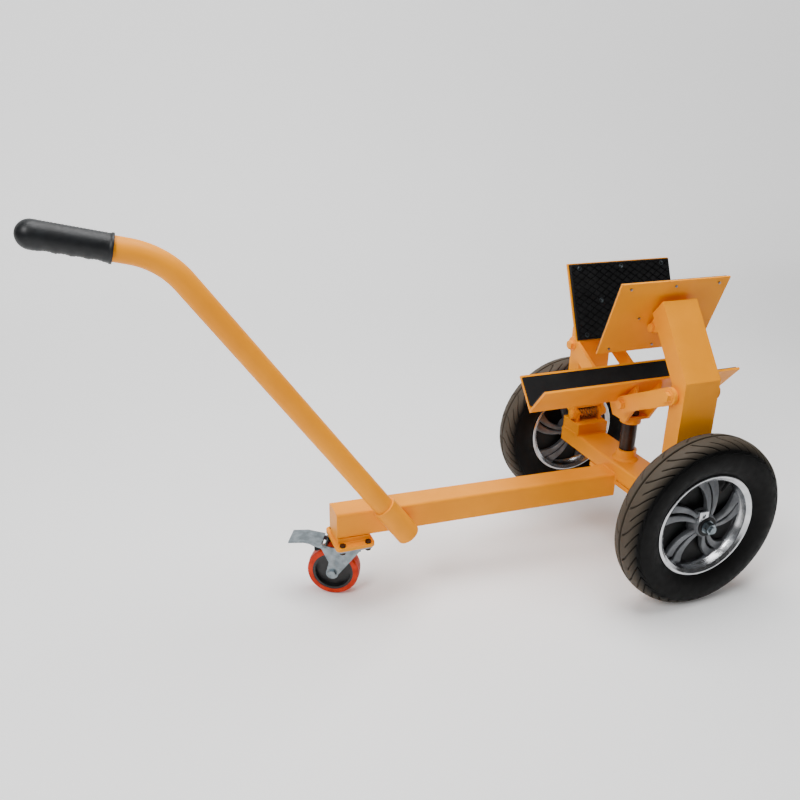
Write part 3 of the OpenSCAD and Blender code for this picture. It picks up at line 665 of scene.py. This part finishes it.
@dataclass
class MainWheel:
    """A pneumatic tyre on a dished alloy rim with five double spokes."""

    side: Side
    looks: Looks
    tread_r: float = 216.0
    width: float = 88.0
    bead_r: float = 131.5
    bead_y: float = 29.0
    grooves: int = 20
    steps_per_groove: int = 11
    groove_depth: float = 5.0
    groove_sweep_deg: float = 21.0
    lip_r: float = 131.0
    rim_half: float = 33.0
    well_r: float = 106.0
    hub_r: float = 31.0
    spokes: int = 5
    spoke_at_deg: float = 37.0
    spoke_sweep_deg: float = -20.0
    spoke_steps: int = 8
    blade_w: tuple[float, float] = (9.0, 25.0)
    bearing_seat_r: float = 23.6
    boss_at: tuple[float, float, float] = (13.0, 27.5, 29.0)
    boss_size: tuple[float, float, float] = (25.0, 11.0, 25.0)
    centre: Vector = field(init=False)

    def __post_init__(self) -> None:
        """Finds the wheel's centre from the frame's tyre."""
        low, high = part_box(self.side.node("tyre"))
        self.centre = (Vector(low) + Vector(high)) / 2

    def tyre_profile(self) -> list[tuple[float, float]]:
        """Half of the tyre's section, from the crown round the side wall to inside the bead.

        Returns:
            Points as (radius, distance from the middle plane) in millimetres.
        """
        half = self.width / 2
        crown = [(self.tread_r - 0.0085 * y * y, y) for y in range(0, 28, 3)]
        shoulder_r, shoulder_y = crown[-1]
        side_r = (self.tread_r + self.bead_r) / 2 - 2
        arc = []
        for step in range(1, 11):
            turn = math.radians(38 + step * 10.2)
            reach = shoulder_r - side_r if turn < math.pi / 2 else side_r - self.bead_r - 3
            scale_r = reach / math.cos(math.radians(38)) if turn < math.pi / 2 else reach / 0.72
            arc.append((side_r + scale_r * math.cos(turn), half * (1 - (1 - math.sin(turn)) * 0.95)))
        arc = [(r, y) for r, y in arc if r > self.bead_r + 2]
        bead_r, bead_y = self.bead_r, self.bead_y
        bead = [(bead_r, bead_y - 0.3), (bead_r - 8, bead_y - 4), (bead_r - 9, 0.0)]
        return crown + arc + bead

    def tyre(self) -> bpy.types.Object:
        """Makes the tyre: half of it is turned, swept and grooved, then mirrored.

        Returns:
            The tyre, centred on the origin.
        """
        steps = self.grooves * self.steps_per_groove
        profile = self.tyre_profile()
        half = turned(self.side.node("tyre_moulded"), profile, steps)
        pitch = math.tau / self.grooves
        shoulder_r = self.tread_r - 26

        def sweep(along: float) -> float:
            """How far the tread is swept round at a distance from the middle plane."""
            return math.radians(self.groove_sweep_deg) * (along / self.width * 2) ** 2

        def cut(middle: Vector, first: float, last: float) -> bool:
            """Says if a face lies between two fractions of the grooves' pitch."""
            turn = math.atan2(middle.z, middle.x) - sweep(middle.y / MM)
            return first < (turn % pitch) / pitch < last

        def in_groove(middle: Vector, normal: Vector) -> bool:
            """Says if a face of the tread is the floor of a groove.

            Args:
                middle: The face's middle.
                normal: The face's normal, which isn't needed.

            Returns:
                True on the centre groove and on the long and short cuts.
            """
            reach, along = math.hypot(middle.x, middle.z) / MM, middle.y / MM
            if reach < shoulder_r:
                return False
            one = 1.0 / self.steps_per_groove
            long_cut = along > 6 and cut(middle, 0.0, one)
            short_cut = along > 19 and cut(middle, 5.5 * one, 6.5 * one)
            return along < 3 or long_cut or short_cut

        with editing(half, everything=False):
            for along in sorted({y for radius, y in profile if radius > shoulder_r}):
                pick_points(half, lambda point, along=along: abs(point.y / MM - along) < 0.01)
                bpy.ops.transform.rotate(value=sweep(along), orient_axis="Y", center_override=WORLD_ORIGIN)
            pick_faces(half, in_groove)
            bpy.ops.mesh.extrude_region_shrink_fatten(
                TRANSFORM_OT_shrink_fatten={"value": -self.groove_depth * MM}
            )
        finish_with(half, "MIRROR", use_axis=(False, True, False), merge_threshold=0.05 * MM)
        finish_with(
            half, "BEVEL", width=0.8 * MM, segments=1, limit_method="ANGLE", angle_limit=math.radians(40)
        )
        smooth(half, 50)
        dress(half, self.looks.tyre)
        return half

    def barrel(self) -> bpy.types.Object:
        """Turns the rim's barrel, with rolled lips and a drop well.

        Returns:
            The barrel, centred on the origin.
        """
        lip, half, well = self.lip_r, self.rim_half, self.well_r
        seat = lip - 9
        outside = [
            (lip - 2, half), (lip, half - 1.5), (lip, half - 4), (seat + 1, half - 6),
            (seat, half - 9), (seat, 13), (well + 8, 8), (well + 8, -8), (seat, -13),
            (seat, 9 - half), (seat + 1, 6 - half), (lip, 4 - half), (lip, 1.5 - half), (lip - 2, -half),
        ]
        inside = [
            (lip - 5, -half), (lip - 7, 1.5 - half), (seat - 5, 6 - half), (seat - 9, -13),
            (well + 2, -8), (well + 2, 8), (seat - 9, 14), (seat - 5, half - 6),
            (lip - 7, half - 1.5), (lip - 5, half),
        ]
        barrel = turned("barrel", outside + inside, 128, closed=True)
        smooth(barrel, 40)
        dress(barrel, self.looks.lip)
        return barrel

    def blade(self, lane: float) -> bpy.types.Object:
        """Draws out one blade of a double spoke, from the hub to the barrel.

        Args:
            lane: -1 or 1, the side of the spoke that the blade is on.

        Returns:
            The blade.
        """
        start_r, end_r = self.hub_r - 4, self.well_r + 5
        narrow, wide = self.blade_w
        widen = (wide / narrow) ** (1 / self.spoke_steps)
        nudge = 0.02

        def centre_at(station: float) -> Vector:
            """The blade's middle at a station between 0, the hub, and 1, the barrel.

            Args:
                station: Where along the blade.

            Returns:
                The place in metres.
            """
            u = max(station, 0.0)
            radius = start_r + (end_r - start_r) * u
            width = narrow + (wide - narrow) * u
            turn = math.radians(self.spoke_sweep_deg * u**1.6) + lane * (width / 2 + 1 + 3 * u) / radius
            return Vector((radius * math.cos(turn), 18.0 - 14.0 * u**1.3, radius * math.sin(turn))) * MM

        def heading(u: float) -> float:
            """The blade's direction about the axle at a station."""
            ahead = centre_at(u + nudge) - centre_at(u - nudge)
            return math.atan2(ahead.z, ahead.x)

        here = centre_at(0.0)
        bpy.ops.mesh.primitive_cube_add(size=1.0, location=here, scale=Vector((2.0, 16.0, narrow)) * MM)
        blade = bpy.context.object
        settle(blade)
        with editing(blade, everything=False):
            pick_faces(blade, lambda middle, normal: normal.x > FACING)
            for step in range(1, self.spoke_steps + 1):
                u = step / self.spoke_steps
                there = centre_at(u)
                bend = heading(u) - heading(max(u - 1 / self.spoke_steps, nudge))
                bpy.ops.mesh.extrude_region_move(TRANSFORM_OT_translate={"value": there - here})
                bpy.ops.transform.rotate(value=bend, orient_axis="Y", center_override=there)
                bpy.ops.transform.resize(value=(widen, 0.955, widen), center_override=there)
                here = there
        finish_with(blade, "MIRROR", use_axis=(False, True, False), use_mirror_merge=False)
        finish_with(blade, "BEVEL", width=2.0 * MM, segments=3, limit_method="ANGLE")
        return blade

    def spider(self) -> bpy.types.Object:
        """Casts the hub and its five double spokes.

        Returns:
            The spider, centred on the origin.
        """
        hub_r = self.hub_r
        hub = turned(
            "hub",
            [
                (self.bearing_seat_r, -32), (hub_r - 2, -32), (hub_r, -30), (hub_r, -14),
                (hub_r + 3, -4), (hub_r + 3, 14), (hub_r - 1, 22), (hub_r - 3, 30), (hub_r - 5, 32),
                (self.bearing_seat_r, 32),
            ],
            64, closed=True,
        )
        parts = [hub]
        for number in range(self.spokes):
            for lane in (-1.0, 1.0):
                blade = self.blade(lane)
                with editing(blade):
                    bpy.ops.transform.rotate(
                        value=math.tau * number / self.spokes + math.radians(self.spoke_at_deg),
                        orient_axis="Y",
                        center_override=WORLD_ORIGIN,
                    )
                parts.append(blade)
        spider = joined("spider", parts)
        smooth(spider, 40)
        dress(spider, self.looks.cast)
        return spider

    def web(self) -> bpy.types.Object:
        """Turns the black web that closes the rim between its spokes, a painted shade for the shadow in the
        spokes' windows, and the hub's seal.

        Returns:
            The web, centred on the origin.
        """
        inner, outer = self.hub_r - 1, self.well_r + 4
        web = turned("web", [(inner, -1.5), (outer, -1.5), (outer, 1.5), (inner, 1.5)], 96, closed=True)
        seal_ring = [(16.5, 32), (24, 32), (24.5, 33.5), (22, 34.5), (17, 34), (16.5, 33)]
        seal = turned("seal", seal_ring, 48, closed=True)
        black = joined(self.side.node("rim_shade_web"), [web, seal])
        smooth(black, 40)
        dress(black, self.looks.black)
        return black

    def boss(self) -> bpy.types.Object:
        """Cuts the bright square boss beside the hub, with its threaded hole.

        Returns:
            The boss, in the wheel's own place about the origin.
        """
        place, size = Vector(self.boss_at) * MM, Vector(self.boss_size) * MM
        bpy.ops.mesh.primitive_cube_add(size=1.0, location=place, scale=size)
        boss = bpy.context.object
        boss.name = self.side.node("rim_boss")
        settle(boss)
        with editing(boss, everything=False):
            pick_faces(boss, lambda middle, normal: normal.y > FACING)
            bpy.ops.mesh.inset(thickness=8 * MM)
            bpy.ops.mesh.extrude_region_shrink_fatten(TRANSFORM_OT_shrink_fatten={"value": -5 * MM})
        finish_with(boss, "BEVEL", width=1.2 * MM, segments=3, limit_method="ANGLE")
        smooth(boss, 40)
        dress(boss, self.looks.lip)
        return boss

    def place(self, piece: bpy.types.Object) -> bpy.types.Object:
        """Moves a piece from the origin to the wheel, facing outwards.

        Args:
            piece: A piece whose outer side is towards +Y.

        Returns:
            The same piece.
        """
        if self.side is Side.NEAR:
            piece.rotation_euler = (0, 0, math.pi)
        piece.location = self.centre
        return settle(piece)

    def build(self) -> None:
        """Builds the wheel and hides the frame's own tyre and rim."""
        tyre = self.place(self.tyre())
        rim = joined(self.side.node("rim_cast"), [self.barrel(), self.spider()])
        self.place(rim)
        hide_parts(self.side.node("tyre"))
        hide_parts(self.side.node("rim"))
        # The black web is painted shade: it darkens the windows between the spokes.
        web, boss = self.place(self.web()), self.place(self.boss())
        slots = ((tyre, "tyre_rubber"), (rim, "rim_alloy"), (web, "black_rod"), (boss, "rim_alloy"))
        for piece, slot in slots:
            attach(piece, self.side.node("wheel"))
            LOG.info("%s: %d faces", piece.name, len(piece.data.polygons))


# ------------------------------------------------------------------ pads


@dataclass
class PadFace:
    """The rubber face of a pad, with a raised diamond pattern and countersunk screw places."""

    side: Side
    looks: Looks
    lean_deg: float
    pitch: float = 15.0
    thickness: float = 8.0
    relief: float = 1.6
    gap: float = 1.3
    border: float = 4.0

    def corners(self) -> tuple[Vector, Vector, Vector, float, float]:
        """Finds the pad's face from the frame's own rubber.

        Returns:
            The face's middle, its outward normal, its up direction, its length and its height.
        """
        low, high = (Vector(v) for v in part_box(self.side.node("pad_rubber")))
        lean = math.radians(self.lean_deg)
        inward = -self.side.value
        normal = Vector((0, inward * math.cos(lean), math.sin(lean)))
        up = Vector((0, -inward * math.sin(lean), math.cos(lean)))
        thick = self.thickness * MM
        height = (high.z - low.z - thick * math.sin(lean)) / math.cos(lean)
        middle = (low + high) / 2 + normal * thick / 2
        return middle, normal, up, high.x - low.x, height

    def build(self) -> None:
        """Builds the patterned rubber and hides the frame's plain one."""
        middle, normal, up, length, height = self.corners()
        cells = int(math.ceil((length + height) / (self.pitch * MM)))
        span = cells * self.pitch * MM
        bpy.ops.mesh.primitive_grid_add(x_subdivisions=cells, y_subdivisions=cells, size=span)
        pattern = bpy.context.object
        pattern.rotation_euler = (0, 0, math.radians(45))
        settle(pattern)
        with editing(pattern):
            bpy.ops.transform.resize(value=(1.25, 0.85, 1))
            for axis, limit in ((0, length / 2), (1, height / 2)):
                edge = limit - self.border * MM
                for way in (-1.0, 1.0):
                    cut = Vector((0, 0, 0))
                    cut[axis] = way
                    bpy.ops.mesh.select_all(action="SELECT")
                    bpy.ops.mesh.bisect(plane_co=cut * edge, plane_no=cut, clear_outer=True)
            bpy.ops.mesh.select_all(action="SELECT")
            bpy.ops.mesh.inset(use_individual=True, thickness=self.gap * MM, depth=0.0)
            bpy.ops.mesh.extrude_region_shrink_fatten(
                TRANSFORM_OT_shrink_fatten={"value": self.relief * MM}
            )
        base_depth = (self.thickness - self.relief) * MM
        pattern.location.z = -self.relief * MM
        settle(pattern)
        half = Vector((length / 2, height / 2, 0))
        low = -half - Vector((0, 0, self.relief * MM + base_depth))
        high = half - Vector((0, 0, self.relief * MM))
        base = box_between("rubber_base", low, high, 1.0)
        rubber = joined(self.side.node("pad_rubber_moulded"), [base, pattern])
        turn = Matrix((Vector((1, 0, 0)), up, normal)).transposed().to_4x4()
        if turn.determinant() < 0:
            turn = Matrix((Vector((-1, 0, 0)), up, normal)).transposed().to_4x4()
        rubber.matrix_world = Matrix.Translation(middle) @ turn
        settle(rubber)
        smooth(rubber, 30)
        dress(rubber, self.looks.rubber)
        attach(rubber, self.side.node("pad"))
        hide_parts(self.side.node("pad_rubber"))
        LOG.info("%s: %d faces", rubber.name, len(rubber.data.polygons))
        self.screw_heads(middle, normal, up, length, height)

    def screw_heads(
        self, middle: Vector, normal: Vector, up: Vector, length: float, height: float
    ) -> None:
        """Adds the bright dished washers round the pad's screws.

        Args:
            middle: The middle of the rubber's face.
            normal: The face's outward direction.
            up: The direction up the face.
            length: The face's length.
            height: The face's height.
        """
        reach, rise = length / 2 - 25 * MM, height / 2 - 11 * MM
        places = [(s * reach, t * rise) for s in (-1, 0, 1) for t in (-1, 1)]
        places += [(s * (length / 4 - 4.5 * MM), 0.0) for s in (-1, 1)]
        heads = []
        dish = [(0.0, 0.0), (2.2, 0.0), (3.0, -0.8), (4.6, 0.2), (6.2, 0.0), (6.4, -1.2), (0.0, -1.2)]
        facing = normal.to_track_quat("Y", "Z").to_matrix().to_4x4()
        for across, above in places:
            head = turned("head", dish, 20)
            spot = middle + Vector((across, 0, 0)) + up * above
            head.matrix_world = Matrix.Translation(spot) @ facing
            settle(head)
            heads.append(head)
        cups = joined(self.side.node("pad_screw_cups"), heads)
        smooth(cups, 40)
        dress(cups, self.looks.zinc)
        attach(cups, self.side.node("pad"))
        LOG.info("%s: %d faces", cups.name, len(cups.data.polygons))


# ------------------------------------------------------------------ handle


@dataclass
class HandleGrip:
    """A moulded grip with a collar, a domed end and four finger hollows underneath."""

    looks: Looks
    radius: float = 27.0
    bore_r: float = 24.1
    length: float = 133.0
    lean_deg: float = 13.5
    hollows: int = 4
    hollow_depth: float = 2.1

    def build(self) -> None:
        """Builds the grip and hides the frame's own one."""
        low, high = (Vector(v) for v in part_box("handle_grip"))
        lean = math.radians(self.lean_deg)
        along = Vector((-math.cos(lean), 0, math.sin(lean)))
        radius, length = self.radius, self.length
        tip = Vector((low.x + radius * MM, (low.y + high.y) / 2, high.z - radius * MM))
        ribs = [
            (radius - (0.5 if step % 2 else 0.0), 8.0 + step * (length - 14) / 40) for step in range(41)
        ]
        dome = [
            (radius * math.cos(turn), length + radius * math.sin(turn))
            for turn in (math.radians(9 * step) for step in range(1, 10))
        ]
        collar = [(radius + 1.2, 0.0), (radius + 1.5, 1.0), (radius + 1.5, 4.5), (radius, 6.0)]
        profile = [(self.bore_r, 0.0)] + collar + ribs + dome + [(0.0, length + radius)]
        grip = turned("handle_grip_moulded", profile, 72)
        turn = along.to_track_quat("Y", "Z")
        with editing(grip, everything=False):
            for number in range(self.hollows):
                station = length * (number + 1) / (self.hollows + 1) * MM

                def under(point: Vector, station: float = station) -> bool:
                    """Says if a vertex is under the grip and near a finger's station."""
                    return abs(point.y - station) < 5 * MM and point.z < -0.6 * radius * MM

                pick_points(grip, under)
                bpy.ops.transform.translate(
                    value=(0, 0, self.hollow_depth * MM),
                    use_proportional_edit=True,
                    proportional_edit_falloff="SMOOTH",
                    proportional_size=13 * MM,
                )
        grip.matrix_world = Matrix.Translation(tip - along * length * MM) @ turn.to_matrix().to_4x4()
        settle(grip)
        smooth(grip, 50)
        dress(grip, self.looks.grip)
        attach(grip, "handle")
        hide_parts("handle_grip")
        LOG.info("%s: %d faces", grip.name, len(grip.data.polygons))


# ------------------------------------------------------------------ hinges and welds


@dataclass
class HingeSprings:
    """The coil springs round the two hinge pins."""

    looks: Looks
    coil_r: float = 11.5
    wire_r: float = 2.2
    turns: int = 7
    steps: int = 28

    def build(self) -> None:
        """Winds both springs and hides the frame's plain ones."""
        low, high = (Vector(v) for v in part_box("hinge_springs"))
        length = high.x - low.x - 2 * self.wire_r * MM
        coils = []
        for side in Side:
            bpy.ops.mesh.primitive_circle_add(vertices=10, radius=self.wire_r * MM)
            coil = bpy.context.object
            coil.rotation_euler = (math.pi / 2, 0, 0)
            coil.location = (self.coil_r * MM, 0, 0)
            settle(coil)
            finish_with(
                coil,
                "SCREW",
                axis="Z",
                angle=math.tau,
                iterations=self.turns,
                steps=self.steps,
                render_steps=self.steps,
                screw_offset=length / self.turns,
                use_merge_vertices=True,
            )
            with editing(coil):
                bpy.ops.mesh.normals_make_consistent(inside=False)
                bpy.ops.mesh.select_all(action="DESELECT")
                bpy.ops.mesh.select_mode(type="EDGE")
                bpy.ops.mesh.select_non_manifold()
                bpy.ops.mesh.fill_holes(sides=12)
            middle_y = (high.y - self.coil_r * MM - self.wire_r * MM) * side.value
            coil.rotation_euler = (0, math.pi / 2, 0)
            coil.location = (low.x + self.wire_r * MM, middle_y, (low.z + high.z) / 2)
            settle(coil)
            coils.append(coil)
        springs = joined("hinge_springs_wound", coils)
        smooth(springs, 60)
        dress(springs, self.looks.spring)
        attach(springs, "frame")
        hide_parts("hinge_springs")
        LOG.info("%s: %d faces", springs.name, len(springs.data.polygons))


@dataclass
class WeldBeads:
    """Painted weld beads along the frame's joints."""

    looks: Looks
    radius: float = 3.2
    ripple: float = 0.7
    pitch: float = 5.0

    def bead(self, start: Vector, end: Vector) -> bpy.types.Object:
        """Lays one rippled bead between two points.

        Args:
            start: Where the bead starts, in metres.
            end: Where it ends.

        Returns:
            The bead.
        """
        length = (end - start).length / MM
        count = max(2, round(length / self.pitch)) * 2
        rings = [
            (self.radius - (self.ripple if step % 2 else 0.0), length * step / count)
            for step in range(count + 1)
        ]
        first = [(0.0, -1.5), (self.radius * 0.6, -1.2)]
        last = [(self.radius * 0.6, length + 1.2), (0.0, length + 1.5)]
        bead = turned("bead", first + rings + last, 8)
        turn = (end - start).to_track_quat("Y", "Z")
        bead.matrix_world = Matrix.Translation(start) @ turn.to_matrix().to_4x4()
        return settle(bead)

    def along(self, name: str, body: str, seams: Iterable[tuple[Vector, Vector]]) -> None:
        """Lays all the beads of one body as one piece.

        Args:
            name: The piece's name.
            body: The body that it rides on.
            seams: The two ends of each seam.
        """
        beads = joined(name, [self.bead(start, end) for start, end in seams])
        smooth(beads, 60)
        dress(beads, self.looks.paint)
        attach(beads, body)
        LOG.info("%s: %d faces", beads.name, len(beads.data.polygons))

    def build(self) -> None:
        """Lays the beads round the hinge blocks, the drawbar's end and the riser."""
        inset, corner = 4 * MM, 3 * MM
        seams = []
        for side in Side:
            low, high = (Vector(v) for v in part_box(side.node("hinge_block")))
            inner_y = high.y if side is Side.NEAR else low.y
            seams.append(
                (Vector((low.x + inset, inner_y, low.z)), Vector((high.x - inset, inner_y, low.z)))
            )
            for x in (low.x, high.x):
                seams.append((Vector((x, low.y + inset, low.z)), Vector((x, high.y - inset, low.z))))
        bar_low, bar_high = (Vector(v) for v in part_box("drawbar"))
        beam_low, _ = (Vector(v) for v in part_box("cross_beam"))
        x = bar_high.x
        top = beam_low.z + 18 * MM
        for y in (bar_low.y, bar_high.y):
            seams.append((Vector((x, y, beam_low.z - 10 * MM)), Vector((x, y, top - 2 * MM))))
        seams.append((Vector((x, bar_low.y + corner, top)), Vector((x, bar_high.y - corner, top))))
        riser_low, riser_high = (Vector(v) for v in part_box("castor_riser"))
        for y in (riser_low.y, riser_high.y):
            z = riser_low.z
            seams.append((Vector((riser_low.x + corner, y, z)), Vector((riser_high.x - corner, y, z))))
        self.along("frame_weld_beads", "frame", seams)


# ------------------------------------------------------------------ stage


@dataclass
class Studio:
    """A pale sweep, two soft lights and the camera."""

    lens_mm: float = 34.90
    from_axle_mm: tuple[float, float, float] = (-1220.2, -1536.0, 1147.8)
    axle_x: float = 0.55
    azimuth_deg: float = -20.56
    elevation_deg: float = 21.85
    roll_deg: float = 0.896
    floor: str = "#F4F4F4"
    sky: float = 0.06
    aim_z: float = 0.35

    def camera(self) -> None:
        """Sets up the camera at the wanted viewing angle."""
        data = bpy.data.cameras.new("camera")
        data.lens = self.lens_mm
        data.sensor_width = 36.0
        data.clip_end = 100.0
        camera = bpy.data.objects.new("camera", data)
        bpy.context.scene.collection.objects.link(camera)
        azimuth, elevation = math.radians(self.azimuth_deg), math.radians(self.elevation_deg)
        level = math.cos(elevation)
        ahead = Vector((-math.sin(azimuth) * level, math.cos(azimuth) * level, -math.sin(elevation)))
        right = Vector((math.cos(azimuth), math.sin(azimuth), 0))
        up = right.cross(ahead)
        turn = Matrix((right, up, -ahead)).transposed().to_quaternion()
        turn = Quaternion(ahead, -math.radians(self.roll_deg)) @ turn
        camera.rotation_mode = "QUATERNION"
        camera.rotation_quaternion = turn
        camera.location = Vector(self.from_axle_mm) * MM + Vector((self.axle_x, 0, 0))
        bpy.context.scene.camera = camera

    def sweep(self) -> None:
        """Lays the pale floor, which curves up into a wall at the back."""
        bpy.ops.mesh.primitive_plane_add(size=1.0, location=(0, 0, 0), scale=(1, 1, 1))
        floor = bpy.context.object
        floor.name = "studio_floor"
        floor.scale = (16, 11, 1)
        floor.location = (0, 0, 0)
        settle(floor)
        with editing(floor, everything=False):
            bpy.ops.mesh.select_mode(type="VERT")
            pick_points(floor, lambda point: point.y > 5)
            bpy.ops.mesh.extrude_region_move(TRANSFORM_OT_translate={"value": (0, 0, 8)})
            bpy.ops.mesh.select_mode(type="VERT")
            pick_points(floor, lambda point: point.y > 5 and point.z < 1)
            bpy.ops.mesh.bevel(offset=2.5, segments=24, affect="EDGES")
        smooth(floor, 60)
        paper = LitBackdrop(
            "matt_backdrop_paper", "#F6F6F6", self.floor, rough_low=0.85, rough_high=0.95,
            drift_mm=900, grain_mm=20, grain_depth_mm=0.05, shine=0.1,
        )
        dress(floor, paper.material())

    def lights(self) -> None:
        """Sets a dim even sky and two large soft lights."""
        world = bpy.data.worlds.new("studio")
        bpy.context.scene.world = world
        world.use_nodes = True
        background = world.node_tree.nodes["Background"]
        background.inputs["Color"].default_value = linear("#FFFFFF")
        background.inputs["Strength"].default_value = self.sky
        for name, place, size, power in (
            ("key", (-2.6, -1.8, 3.2), 1.4, 115.0),
            ("top", (0.1, 0.1, 3.6), 2.6, 180.0),
        ):
            data = bpy.data.lights.new(name, "AREA")
            data.size = size
            data.energy = power
            light = bpy.data.objects.new(name, data)
            light.location = place
            towards = Vector((0, 0, self.aim_z)) - Vector(place)
            light.rotation_euler = towards.to_track_quat("-Z", "Y").to_euler()
            bpy.context.scene.collection.objects.link(light)

    def build(self) -> None:
        """Builds the whole stage."""
        self.camera()
        self.sweep()
        self.lights()


def dress_frame_nodes(looks: Looks, names: Iterable[str]) -> None:
    """Gives the frame's own nodes their finishes, by the record's material slots.

    Args:
        looks: The finishes.
        names: The frame's nodes.
    """
    by_slot = {
        "frame_paint": looks.paint,
        "zinc": looks.zinc,
        "black_rod": looks.rod,
        "black_rubber": looks.rubber,
        "grip_rubber": looks.grip,
        "tyre_rubber": looks.tyre,
        "rim_alloy": looks.cast,
        "castor_core": looks.core,
        "castor_tread": looks.tread,
    }
    slots = {row["node"]: row["material_slot"] for row in frame["record"]["subparts"]}
    for name in names:
        dress(frame["nodes"][name], by_slot[slots[name]])


def main() -> None:
    """Builds every sub-assembly in order."""
    logging.basicConfig(level=logging.INFO, format="%(name)s: %(message)s")
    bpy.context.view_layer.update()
    bpy.ops.object.select_all(action="DESELECT")
    tyre_low, tyre_high = (Vector(v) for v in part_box("near_tyre"))
    castor_low, castor_high = (Vector(v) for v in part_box("castor_tread"))
    looks = Looks((tyre_low + tyre_high) / 2, (castor_low + castor_high) / 2)
    Studio(axle_x=(tyre_low.x + tyre_high.x) / 2).build()
    dress_frame_nodes(looks, frame["nodes"])
    for side in Side:
        MainWheel(side, looks).build()
    PadFace(Side.NEAR, looks, lean_deg=20.0).build()
    PadFace(Side.FAR, looks, lean_deg=22.5).build()
    HandleGrip(looks).build()
    HingeSprings(looks).build()
    WeldBeads(looks).build()


if __name__ == "__main__":
    main()
